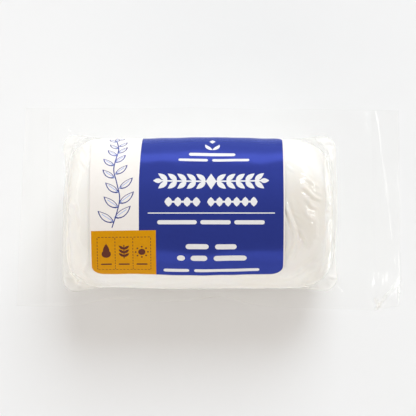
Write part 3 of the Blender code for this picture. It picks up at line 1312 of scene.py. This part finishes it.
INK_FINISHES = {
    Ink.BLUE: InkFinish(
        "deep_blue_ink", (0.036, 0.056, 0.330), (0.034, 0.052, 0.310),
        metallic=0.55, roughness=0.16, edge_tint=(0.4, 0.5, 1.0), gloss=0.2,
    ),
    Ink.CREAM: InkFinish("cream_ink", (0.850, 0.806, 0.764), (0.828, 0.780, 0.732)),
    Ink.OCHRE: InkFinish("ochre_ink", (0.665, 0.300, 0.004), (0.600, 0.262, 0.003)),
    Ink.BROWN: InkFinish("brown_ink", (0.110, 0.032, 0.020), (0.130, 0.038, 0.022)),
    Ink.WHITE: InkFinish("white_ink", (0.800, 0.790, 0.785), (0.770, 0.760, 0.755)),
    Ink.PALE_BLUE: InkFinish("pale_blue_ink", (0.330, 0.420, 0.720), (0.360, 0.450, 0.740)),
}


@dataclass(frozen=True)
class Panel:
    """A printed field with straight sides, in millimetres on the label."""

    ink: Ink
    corners: tuple[Place, ...]

    def outline(self) -> np.ndarray:
        """The field's corners."""
        return np.array(self.corners, float)


@dataclass(frozen=True)
class Bar:
    """A bar with round ends, in millimetres on the label."""

    ink: Ink
    left: float
    right: float
    bottom: float
    top: float
    roundness: float = 1.0
    corner_steps: int = 4

    def outline(self) -> np.ndarray:
        """The bar's outline, corner by corner from its upper right.

        Returns:
            Its outline's points, one row each.
        """
        radius = 0.5 * self.roundness * min(self.top - self.bottom, self.right - self.left)
        points = []
        for quarter, (u, v) in enumerate((
            (self.right - radius, self.top - radius),
            (self.left + radius, self.top - radius),
            (self.left + radius, self.bottom + radius),
            (self.right - radius, self.bottom + radius),
        )):
            for step in range(self.corner_steps + 1):
                turn = (quarter + step / self.corner_steps) * math.pi / 2.0
                points.append((u + radius * math.cos(turn), v + radius * math.sin(turn)))
        return np.array(points)


@dataclass(frozen=True)
class Disc:
    """A round spot, in millimetres on the label."""

    ink: Ink
    u: float
    v: float
    radius: float
    sides: int = 16

    def outline(self) -> np.ndarray:
        """The spot's outline."""
        turns = np.arange(self.sides) * 2.0 * math.pi / self.sides
        return np.stack([self.u + self.radius * np.cos(turns), self.v + self.radius * np.sin(turns)], axis=1)


@dataclass(frozen=True)
class Lozenge:
    """A diamond whose sides bow a little inwards, in millimetres on the label."""

    ink: Ink
    u: float
    v: float
    half_width: float
    half_height: float
    waist: float = 0.46

    def outline(self) -> np.ndarray:
        """The diamond's outline.

        Returns:
            Its outline's points, one row each.
        """
        turns = np.arange(8) * math.pi / 4.0
        reach = np.where(np.arange(8) % 2 == 0, 1.0, self.waist * math.sqrt(2.0))
        across = self.u + self.half_width * reach * np.cos(turns)
        return np.stack([across, self.v + self.half_height * reach * np.sin(turns)], axis=1)


@dataclass(frozen=True)
class Leaf:
    """A pointed leaf that grows from its base along a heading, in millimetres on the label."""

    ink: Ink
    u: float
    v: float
    length: float
    width: float
    heading: float
    bend: float = 0.0
    steps: int = 7

    def outline(self) -> np.ndarray:
        """The leaf's outline, up one side and down the other.

        Returns:
            Its outline's points, one row each.
        """
        shares = np.arange(self.steps + 1) / self.steps
        half = 0.5 * self.width * np.sin(math.pi * shares**0.85) ** 0.9
        turned = np.radians(self.heading + self.bend * (shares - 0.5))
        spine_u = self.u + np.cumsum(np.append(0.0, np.cos(turned[1:]))) * self.length / self.steps
        spine_v = self.v + np.cumsum(np.append(0.0, np.sin(turned[1:]))) * self.length / self.steps
        sides = [
            np.stack([spine_u - side * half * np.sin(turned), spine_v + side * half * np.cos(turned)], axis=1)
            for side in (-1.0, 1.0)
        ]
        return np.vstack([sides[0], sides[1][-2:0:-1]])


@dataclass(frozen=True)
class Stroke:
    """A smooth line of one width, in millimetres on the label."""

    ink: Ink
    route: tuple[Place, ...]
    width: float

    def outline(self) -> np.ndarray:
        """The line's outline, along one side and back along the other.

        Returns:
            Its outline's points, one row each.
        """
        line = smooth_route(self.route, steps=5)
        along = unit(np.gradient(line, axis=0))
        side = np.stack([-along[:, 1], along[:, 0]], axis=1) * self.width / 2.0
        return np.vstack([line - side, (line + side)[::-1]])


Shape = Panel | Bar | Disc | Lozenge | Leaf | Stroke


def split_outline(outline: np.ndarray, step: float) -> np.ndarray:
    """Adds points to a closed outline so that no stretch of it is long.

    Args:
        outline: The outline's points.
        step: The longest that a stretch may be.

    Returns:
        The outline with its added points.
    """
    points = []
    for first, second in zip(outline, np.roll(outline, -1, axis=0)):
        pieces = max(1, math.ceil(np.linalg.norm(second - first) / step))
        points += [between(first, second, share / pieces) for share in range(pieces)]
    return np.array(points)


def inside_outline(outline: np.ndarray, places: np.ndarray) -> np.ndarray:
    """Which places lie inside a closed outline.

    Args:
        outline: The outline's points.
        places: The places to test.

    Returns:
        True for each place that lies inside.
    """
    result = np.zeros(len(places), bool)
    for (u0, v0), (u1, v1) in zip(outline, np.roll(outline, -1, axis=0)):
        spans = (v0 > places[:, 1]) != (v1 > places[:, 1])
        if not spans.any():
            continue
        crossing = u0 + (places[:, 1] - v0) * (u1 - u0) / (v1 - v0 if v1 != v0 else 1.0)
        result ^= spans & (places[:, 0] < crossing)
    return result


@dataclass
class PrintedLabel:
    """The printed label over the log's crown: a blue field, a cream panel with a sprig and an ochre block."""

    sheet: LabelSheet
    relief: Relief
    thickness: float = 0.08 * MM
    rim: float = 0.1
    grid_step: float = 1.1
    panel_top: float = 14.46
    panel_low: float = 13.66
    panel_bend: float = 31.0
    block_width: float = 18.5
    block_height: float = 15.7
    leaf_line: float = 0.24
    leaf_width: float = 0.36
    rib_length: float = 0.72
    thin_line: float = 0.2
    dash: float = 0.6
    dash_pitch: float = 1.05

    def fields(self) -> list[Shape]:
        """The large fields of colour.

        Returns:
            The shapes.
        """
        height = self.sheet.height
        cream = ((-1.0, -1.0), (self.panel_low, -1.0), (self.panel_low, self.panel_bend),
                 (self.panel_top, height + 1.0), (-1.0, height + 1.0))
        width, top = self.block_width, self.block_height
        block = ((-1.0, -1.0), (width, -1.0), (width, top), (-1.0, top))
        return [Panel(Ink.CREAM, cream), Panel(Ink.OCHRE, block)]

    def line_leaf(self, u: float, v: float, length: float, heading: float, bend: float) -> list[Shape]:
        """A leaf that is drawn as an outline with a midrib.

        Args:
            u: How far right its base is.
            v: How far up its base is.
            length: Its length.
            heading: The way it points, in degrees.
            bend: How far it turns along its length, in degrees.

        Returns:
            Its shapes.
        """
        width = self.leaf_width * length
        inset = self.leaf_line * 2.2
        rib = self.rib_length * length
        turn = math.radians(heading)
        inner = (u + inset * math.cos(turn), v + inset * math.sin(turn))
        rib_end = (u + rib * math.cos(turn), v + rib * math.sin(turn))
        return [
            Leaf(Ink.BLUE, u, v, length, width, heading, bend),
            Leaf(Ink.CREAM, *inner, length - 2.0 * inset, width - 2.0 * self.leaf_line, heading, bend),
            Stroke(Ink.PALE_BLUE, ((u, v), rib_end), self.thin_line),
        ]

    def sprig(self) -> list[Shape]:
        """A plain leafy sprig up the cream panel.

        Returns:
            The shapes.
        """
        stem = smooth_route(((6.0, 16.6), (8.2, 25.0), (6.4, 34.0), (7.6, 42.0), (7.0, 48.0)), steps=8)
        shapes: list[Shape] = []
        for step in range(8):
            u, v = stem[2 + 4 * step if step < 7 else -1]
            length = between(5.9, 3.6, step / 7.0)
            for side in (-1.0, 1.0):
                base = v + (0.7 if side > 0.0 else -0.5)
                heading = 90.0 - side * between(56.0, 40.0, step / 7.0)
                shapes += self.line_leaf(u, base, length, heading, side * 26.0)
        shapes += self.line_leaf(stem[-1][0], stem[-1][1], 3.8, 88.0, 6.0)
        shapes.append(Stroke(Ink.BLUE, tuple(map(tuple, stem[::4])), 0.3))
        return shapes

    def garland(self) -> list[Shape]:
        """A band of white leaf pairs that run out from a lozenge.

        Returns:
            The shapes.
        """
        middle_u, middle_v = 34.3, 30.15
        half_length, half_line, last_leaf = 16.3, 0.24, 14.0
        pitch, splay, bend = 2.72, 44.0, 20.0
        shapes: list[Shape] = [Lozenge(Ink.WHITE, middle_u, middle_v, 1.5, 2.5, 0.52)]
        for side in (-1.0, 1.0):
            outward = 90.0 - side * 90.0
            ends = sorted((middle_u, middle_u + side * half_length))
            shapes.append(Bar(Ink.WHITE, *ends, middle_v - half_line, middle_v + half_line))
            for step in range(5):
                u = middle_u + side * (1.7 + pitch * step)
                for turn in (-1.0, 1.0):
                    heading = outward + side * turn * splay
                    shapes.append(Leaf(Ink.WHITE, u, middle_v, 3.5, 1.55, heading, -side * turn * bend))
            shapes.append(Leaf(Ink.WHITE, middle_u + side * last_leaf, middle_v, 2.6, 1.5, outward))
        return shapes

    def chain(self, left: float, right: float, bottom: float, top: float) -> list[Shape]:
        """A row of white lozenges with dots between them.

        Args:
            left: Where it starts.
            right: Where it ends.
            bottom: The lozenges' lowest points.
            top: Their highest points.

        Returns:
            Its shapes.
        """
        count = max(1, round((right - left) / 2.6))
        pitch = (right - left) / count
        middle = 0.5 * (bottom + top)
        shapes: list[Shape] = []
        for step in range(count):
            u = left + pitch * (step + 0.5)
            shapes.append(Lozenge(Ink.WHITE, u, middle, 0.44 * pitch, 0.5 * (top - bottom), 0.6))
            if step:
                shapes.append(Disc(Ink.WHITE, left + pitch * step, middle, 0.3, 10))
        return shapes

    def lines(self) -> list[Shape]:
        """The plain white ornament, rule and bars that fill the blue field below and above the garland.

        Returns:
            The shapes.
        """
        shapes: list[Shape] = [
            Lozenge(Ink.WHITE, 34.7, 47.2, 0.9, 1.3, 0.5),
            Leaf(Ink.WHITE, 34.7, 42.2, 3.7, 1.25, 128.0, -50.0),
            Leaf(Ink.WHITE, 34.7, 42.2, 3.7, 1.25, 52.0, 50.0),
            Bar(Ink.WHITE, 16.2, 52.5, 20.5, 20.8),
        ]
        bars = (
            (27.9, 41.3, 39.3, 40.6), (24.9, 33.4, 37.1, 38.1), (34.6, 45.3, 37.1, 38.1),
            (18.9, 30.2, 17.4, 18.6), (31.2, 39.9, 17.4, 18.6), (40.9, 49.6, 17.4, 18.6),
            (27.0, 33.6, 9.9, 11.5), (35.4, 41.6, 9.9, 11.5),
            (24.5, 26.8, 6.0, 7.8), (28.4, 33.2, 6.0, 7.8), (35.0, 44.5, 6.0, 7.8),
            (20.6, 28.0, 1.6, 2.8), (29.4, 48.2, 1.6, 2.8),
        )
        shapes += [Bar(Ink.WHITE, *bar) for bar in bars]
        shapes += self.chain(20.8, 31.4, 22.5, 25.3)
        shapes += self.chain(33.0, 47.7, 22.5, 25.3)
        return shapes

    def dashes(self, start: Place, end: Place) -> list[Shape]:
        """A dashed brown line.

        Args:
            start: Where it starts.
            end: Where it ends.

        Returns:
            Its dashes.
        """
        length = math.dist(start, end)
        count = round(length / self.dash_pitch)
        direction = ((end[0] - start[0]) / length, (end[1] - start[1]) / length)
        shapes: list[Shape] = []
        for step in range(count):
            middle = length * (step + 0.5) / count
            ends = [
                (start[0] + direction[0] * place, start[1] + direction[1] * place)
                for place in (middle - self.dash / 2.0, middle + self.dash / 2.0)
            ]
            shapes.append(Stroke(Ink.BROWN, tuple(ends), self.thin_line))
        return shapes

    def badges(self) -> list[Shape]:
        """Three small brown signs in a dashed frame on the ochre block: a drop, a twig and a sun.

        Returns:
            The shapes.
        """
        left, right, bottom, top = 1.7, 17.0, 2.2, 13.7
        shapes: list[Shape] = []
        for start, end in (
            ((left, bottom), (right, bottom)), ((left, top), (right, top)),
            ((left, bottom), (left, top)), ((right, bottom), (right, top)),
            ((6.8, bottom), (6.8, top)), ((11.9, bottom), (11.9, top)),
        ):
            shapes += self.dashes(start, end)
        middle = 8.9
        drop, twig, sun = 4.25, 9.35, 14.45
        shapes.append(Disc(Ink.BROWN, drop, middle - 0.6, 1.35))
        shapes.append(Leaf(Ink.BROWN, drop, middle - 1.4, 4.2, 1.9, 90.0))
        shapes.append(Stroke(Ink.BROWN, ((twig, 6.7), (twig, 11.3)), 0.32))
        for step in range(3):
            for side in (-1.0, 1.0):
                shapes.append(Leaf(Ink.BROWN, twig, 7.3 + 1.25 * step, 2.0, 0.85, 90.0 - side * 50.0))
        shapes.append(Disc(Ink.BROWN, sun, middle, 1.05))
        for step in range(8):
            turn = step * math.pi / 4.0
            ray = (sun + 1.75 * math.cos(turn), middle + 1.75 * math.sin(turn))
            shapes.append(Disc(Ink.BROWN, *ray, 0.28, 8))
        for u in (drop, twig, sun):
            shapes.append(Bar(Ink.BROWN, u - 1.6, u + 1.6, 4.2, 4.75))
        return shapes

    def print_shapes(self) -> list[Shape]:
        """Every printed shape over the blue field, from the lowest to the topmost."""
        return [*self.fields(), *self.sprig(), *self.garland(), *self.lines(), *self.badges()]

    def triangulated(self, shapes: Sequence[Shape]) -> tuple[np.ndarray, list[tuple[int, ...]], list[Ink]]:
        """Splits the flat label into triangles along every printed outline.

        Args:
            shapes: The printed shapes from the lowest to the topmost.

        Returns:
            The places of the points, the triangles and each triangle's ink.
        """
        sheet = self.sheet
        cut = sheet.rounded(Ink.CREAM, sheet.margin).outline()
        rim = sheet.rounded(Ink.CREAM, sheet.margin - self.rim).outline()
        printed = sheet.rounded(Ink.BLUE, 0.0).outline()
        outlines = [cut, rim, printed, *(shape.outline() for shape in shapes)]
        outlines = [split_outline(outline, self.grid_step) for outline in outlines]
        places = []
        edges = []
        for outline in outlines:
            first = len(places)
            places += [Vector(place) for place in outline]
            edges += [(first + step, first + (step + 1) % len(outline)) for step in range(len(outline))]
        columns = round(sheet.length / self.grid_step)
        rows = round(sheet.height / self.grid_step)
        for row in range(1, rows):
            for column in range(1, columns):
                places.append(Vector((sheet.length * column / columns, sheet.height * row / rows)))
        found, _, faces, _, _, _ = delaunay_2d_cdt(places, edges, [], 0, 1e-5)
        points = np.array([tuple(place) for place in found])
        middles = np.array([points[list(face)].mean(axis=0) for face in faces])
        kept = inside_outline(cut, middles)
        inks = np.full(len(faces), Ink.BLUE.value)
        for shape in shapes:
            outline = shape.outline()
            near = np.all((middles >= outline.min(axis=0)) & (middles <= outline.max(axis=0)), axis=1)
            near[near] = inside_outline(outline, middles[near])
            inks[near] = shape.ink.value
        inks[~inside_outline(printed, middles)] = Ink.CREAM.value
        shown = [step for step in range(len(faces)) if kept[step]]
        return points, [tuple(faces[step]) for step in shown], [Ink(int(inks[step])) for step in shown]

    def build(self) -> bpy.types.Object:
        """Makes the label as a thin sheet over the log.

        Returns:
            The piece.
        """
        places, faces, inks = self.triangulated(self.print_shapes())
        used = sorted({point for face in faces for point in face})
        number = {point: step for step, point in enumerate(used)}
        places = places[used]
        faces = [tuple(number[point] for point in face) for face in faces]
        flat = self.sheet.wrapped(places, 0.0)
        points = self.sheet.wrapped(places, self.sheet.lift + self.relief.lift(flat))
        materials = [INK_FINISHES[ink].material() for ink in Ink]
        piece = placed_mesh("printed_label", points, faces, materials)
        piece.data.polygons.foreach_set("material_index", [ink.value for ink in inks])
        stock = piece.modifiers.new("stock", "SOLIDIFY")
        stock.thickness = self.thickness
        stock.offset = -1.0
        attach(piece, BODY)
        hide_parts("front_label")
        return piece


@dataclass
class FilmBag:
    """The clear vacuum film: a front web over the log and a back web under it, sealed flat all round."""

    form: LogForm
    border: BorderForm
    label: LabelSheet
    log_relief: Relief
    border_relief: Relief
    border_finish: FilmFinish = FilmFinish(
        "sealed_film", head_on=0.012, haze=0.02, seal_haze=0.02, folds=CORNER_FOLDS,
    )
    drawn_finish: FilmFinish = FilmFinish("drawn_film", head_on=0.042, edge_on=0.2, pocket_haze=0.33)
    fineness: Fineness = Fineness(20, 32, ((-1.0, -0.86, 12), (-0.86, 0.66, 50), (0.66, 1.0, 48)))
    around_front: int = 230
    around_back: int = 40
    border_rows: int = 44
    web: float = 0.06 * MM
    gap: float = 0.06 * MM
    label_soft: float = 0.5 * MM
    tent: float = 0.6 * MM
    tent_height: float = 2.4 * MM
    corner_tent: float = 0.5 * MM
    corner_spread: float = 5.0 * MM
    relief_start: float = 0.125
    floor_gap: float = 0.3

    def outline(self) -> np.ndarray:
        """The log's outline at the seam, anticlockwise from its right end.

        Returns:
            Its outline's points, one row each.
        """
        ends = self.form.rings(self.fineness, np.array([0.0, math.pi]))
        loop = [self.form.tip(End.RIGHT)[None], ends[::-1, 0], self.form.tip(End.LEFT)[None], ends[:, 1]]
        return np.vstack(loop)

    def outline_normals(self, outline: np.ndarray) -> np.ndarray:
        """The level outward directions of the outline."""
        tangent = np.roll(outline, -1, axis=0) - np.roll(outline, 1, axis=0)
        return unit(np.stack([tangent[:, 1], -tangent[:, 0], np.zeros(len(outline))], axis=1))

    def tent_push(self, points: np.ndarray) -> np.ndarray:
        """How far the film stands off the log where it bridges from its side to the border.

        Args:
            points: Points on the log, in an array of any shape.

        Returns:
            The gap at each point.
        """
        local = points - np.array(self.form.centre)
        rise = np.clip(np.abs(local[..., 2]) / self.tent_height, 0.0, 1.0)
        size = np.full(rise.shape, self.tent)
        for side, back, _ in self.form.ears:
            corner_x = side * (self.form.seam_reach[0] - self.form.ear_inset)
            corner_y = back * (self.form.half_width - self.form.ear_inset)
            distance = np.hypot(local[..., 0] - corner_x, local[..., 1] - corner_y)
            size = size + self.corner_tent * bell(distance, self.corner_spread)
        return size * (1.0 - rise) ** 2

    def border_grid(self, outline: np.ndarray, side: float) -> np.ndarray:
        """The rows of one web's border.

        Args:
            outline: The log's outline at the seam.
            side: 1 for the front web or -1 for the back web.

        Returns:
            The points, by row and by place round the outline.
        """
        cut = self.border.cut_edge(outline)
        push = self.gap + self.tent_push(outline)
        inner = outline + self.outline_normals(outline) * push[:, None]
        rows = []
        for row in range(self.border_rows + 1):
            share = row / self.border_rows
            formed = self.border.bent(self.border.curled(cut, share))
            place = between(inner, formed, share)
            place[:, 2] += self.border_relief.lift(place) * eased(share / self.relief_start) + side * self.web
            rows.append(place)
        return np.stack(rows)

    def cap(self, angles: np.ndarray, rim: np.ndarray, side: float) -> np.ndarray:
        """One web's skin over the log.

        Args:
            angles: The angles round the log, from one seam to the other.
            rim: The border's innermost row, which the skin joins.
            side: 1 for the front web or -1 for the back web.

        Returns:
            The points, by ring and by angle.
        """
        grid = self.form.rings(self.fineness, angles)
        normals = grid_normals(grid)
        level = unit(normals * np.array([1.0, 1.0, 0.0]))
        lift = np.full(grid.shape[:2], self.gap)
        if side > 0.0:
            shown = self.log_relief.shown(grid[:, :, 2] - self.form.centre[2], normals)
            smooth = Relief((), self.log_relief.ripples, self.log_relief.view).lift(grid)
            cover = self.label.cover(grid, self.label_soft)
            lift = lift + between(self.log_relief.lift(grid) * shown, smooth, cover)
        skin = grid + normals * lift[:, :, None] + level * self.tent_push(grid)[:, :, None]
        skin[:, :, 2] = np.maximum(skin[:, :, 2], self.floor_gap * self.web)
        count = len(grid)
        back_rim = rim[1:count + 1][::-1]
        front_rim = rim[count + 2:]
        skin[:, 0], skin[:, -1] = (back_rim, front_rim) if side > 0.0 else (front_rim, back_rim)
        return skin

    def web_mesh(self, outline: np.ndarray, side: float, first: int) -> tuple[np.ndarray, list, list, Any]:
        """One web of the bag.

        Args:
            outline: The log's outline at the seam.
            side: 1 for the front web or -1 for the back web.
            first: The number of its first point.

        Returns:
            Its points, its faces over the log, its faces on the border and its cut edge's point numbers.
        """
        border = self.border_grid(outline, side)
        steps = self.around_front if side > 0.0 else self.around_back
        start = 0.0 if side > 0.0 else math.pi
        skin = self.cap(np.linspace(start, start + math.pi, steps + 1), border[0], side)
        count = len(skin)
        loop = len(outline)
        border_numbers = first + np.arange(border.shape[0] * loop).reshape(border.shape[0], loop)
        inner_first = first + border_numbers.size
        numbers = np.zeros(skin.shape[:2], int)
        numbers[:, 1:-1] = inner_first + np.arange(count * (steps - 1)).reshape(count, steps - 1)
        back_rim = border_numbers[0][1:count + 1][::-1]
        front_rim = border_numbers[0][count + 2:]
        numbers[:, 0], numbers[:, -1] = (back_rim, front_rim) if side > 0.0 else (front_rim, back_rim)
        closed = np.concatenate([border_numbers, border_numbers[:, :1]], axis=1)
        rows = closed[::-1] if side > 0.0 else closed
        left_tip = int(border_numbers[0][count + 1])
        right_tip = int(border_numbers[0][0])
        drawn = [*quads(numbers), *fan(left_tip, numbers[0][::-1]), *fan(right_tip, numbers[-1])]
        points = np.vstack([border.reshape(-1, 3), skin[:, 1:-1].reshape(-1, 3)])
        return points, drawn, [*quads(rows)], closed[-1]

    def build(self) -> bpy.types.Object:
        """Makes the bag as one closed skin.

        Returns:
            The piece.
        """
        outline = self.outline()
        front, front_drawn, front_border, front_edge = self.web_mesh(outline, 1.0, 0)
        back, back_drawn, back_border, back_edge = self.web_mesh(outline, -1.0, len(front))
        border = [*front_border, *back_border, *quads(np.stack([back_edge, front_edge]))]
        drawn = [*front_drawn, *back_drawn]
        materials = [self.border_finish.material(), self.drawn_finish.material()]
        piece = placed_mesh("clear_film_bag", np.vstack([front, back]), [*border, *drawn], materials)
        piece.data.polygons.foreach_set("material_index", [0] * len(border) + [1] * len(drawn))
        piece.visible_shadow = False
        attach(piece, BODY)
        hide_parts("clear_film")
        return piece


@dataclass(frozen=True)
class SoftBox:
    """A studio light that faces the pack, and lights matt surfaces, shows in gloss or both."""

    name: str
    direction: Triple
    distance: float
    width: float
    height: float
    radiance: float
    colour: Colour = WHITE
    lights_matt: bool = True
    shows_in_gloss: bool = True

    def build(self) -> None:
        """Makes the light."""
        data = bpy.data.lights.new(self.name, "AREA")
        data.shape = "RECTANGLE"
        data.size = self.width
        data.size_y = self.height
        data.energy = self.radiance * math.pi * self.width * self.height
        data.color = self.colour
        placed = bpy.data.objects.new(self.name, data)
        toward = Vector(self.direction).normalized()
        placed.location = toward * self.distance
        placed.rotation_euler = toward.to_track_quat("Z", "Y").to_euler()
        placed.visible_diffuse = self.lights_matt
        placed.visible_glossy = self.shows_in_gloss
        bpy.context.scene.collection.objects.link(placed)


@dataclass(frozen=True)
class Studio:
    """The pale floor, the soft lights and the surroundings that the gloss mirrors.

    The sky's stops are heights from the horizon at 0 to overhead at 1, and lean is how much brighter it is at
    the back.
    """

    floor_size: float = 6.0
    floor_finish: FloorFinish = FloorFinish()
    lights: tuple[SoftBox, ...] = (
        SoftBox("key", (0.20, 0.74, 0.84), 2.2, 1.3, 1.3, 4.5, (0.90, 1.0, 1.08), shows_in_gloss=False),
        SoftBox("fill", (-0.30, -0.90, 0.34), 2.2, 2.6, 1.2, 1.32, (1.0, 0.955, 0.90), shows_in_gloss=False),
        SoftBox("left_fill", (-0.95, -0.10, 0.42), 2.2, 1.4, 1.2, 0.6, (1.0, 0.985, 0.965),
                shows_in_gloss=False),
        SoftBox("low_back_mirror", (0.45, 1.0, 0.20), 2.0, 1.4, 0.6, 1.6, lights_matt=False),
        SoftBox("right_mirror", (1.0, 0.25, 0.52), 1.8, 0.9, 0.35, 7.0, lights_matt=False),
        SoftBox("back_right_mirror", (0.75, 0.75, 0.80), 1.8, 0.6, 0.6, 9.0, lights_matt=False),
    )
    sky: tuple[tuple[float, Colour], ...] = (
        (0.0, (1.55, 1.535, 1.52)),
        (0.29, (1.65, 1.635, 1.62)),
        (0.33, (0.60, 0.572, 0.548)),
        (1.0, (0.53, 0.502, 0.478)),
    )
    lean: float = 0.3

    def build(self) -> None:
        """Makes the floor, the lights and the world."""
        half = self.floor_size / 2.0
        corners = np.array([(-half, -half, 0.0), (half, -half, 0.0), (half, half, 0.0), (-half, half, 0.0)])
        floor = placed_mesh("floor", corners, [(0, 1, 2, 3)], [self.floor_finish.material()])
        for light in self.lights:
            light.build()
        world = bpy.data.worlds.new("studio")
        bpy.context.scene.world = world
        graph = Graph(world)
        heading = graph.value("ShaderNodeTexCoord", "Generated")
        height = graph.value("ShaderNodeSeparateXYZ", "Z", inputs={0: heading})
        back = graph.value("ShaderNodeSeparateXYZ", "Y", inputs={0: heading})
        ramp = graph.node("ShaderNodeValToRGB", {"stops": self.sky}, {"Fac": height})
        background = graph.node("ShaderNodeBackground", inputs={
            "Color": ramp.outputs["Color"],
            "Strength": 1.0 + self.lean * back,
        })
        graph.node("ShaderNodeOutputWorld", inputs={"Surface": background.outputs[0]})
        bpy.context.scene.view_settings.view_transform = "Standard"


def main() -> None:
    """Builds the studio and each piece of the pack, and reports them."""
    logging.basicConfig(level=logging.INFO, format="%(message)s")
    view = Viewpoint()
    view.place_camera()
    Studio().build()
    form = LogForm()
    sheet = LabelSheet(form)
    corners = corner_creases()
    log_relief = Relief((*log_creases(), *corners), (Ripples(0.05 * MM, 9.0 * MM, 6, 41),), view)
    border_relief = Relief((*border_creases(), *corners), (Ripples(0.07 * MM, 13.0 * MM, 7, 42),), view)
    label_relief = Relief((), log_relief.ripples, view)
    builders = (
        CheeseLog(cheese_form(form), log_relief),
        PrintedLabel(sheet, label_relief),
        FilmBag(form, BorderForm(), sheet, log_relief, border_relief),
    )
    for builder in builders:
        piece = builder.build()
        LOG.info("%s: %d points, %d faces", piece.name, len(piece.data.vertices), len(piece.data.polygons))


if __name__ == "__main__":
    main()
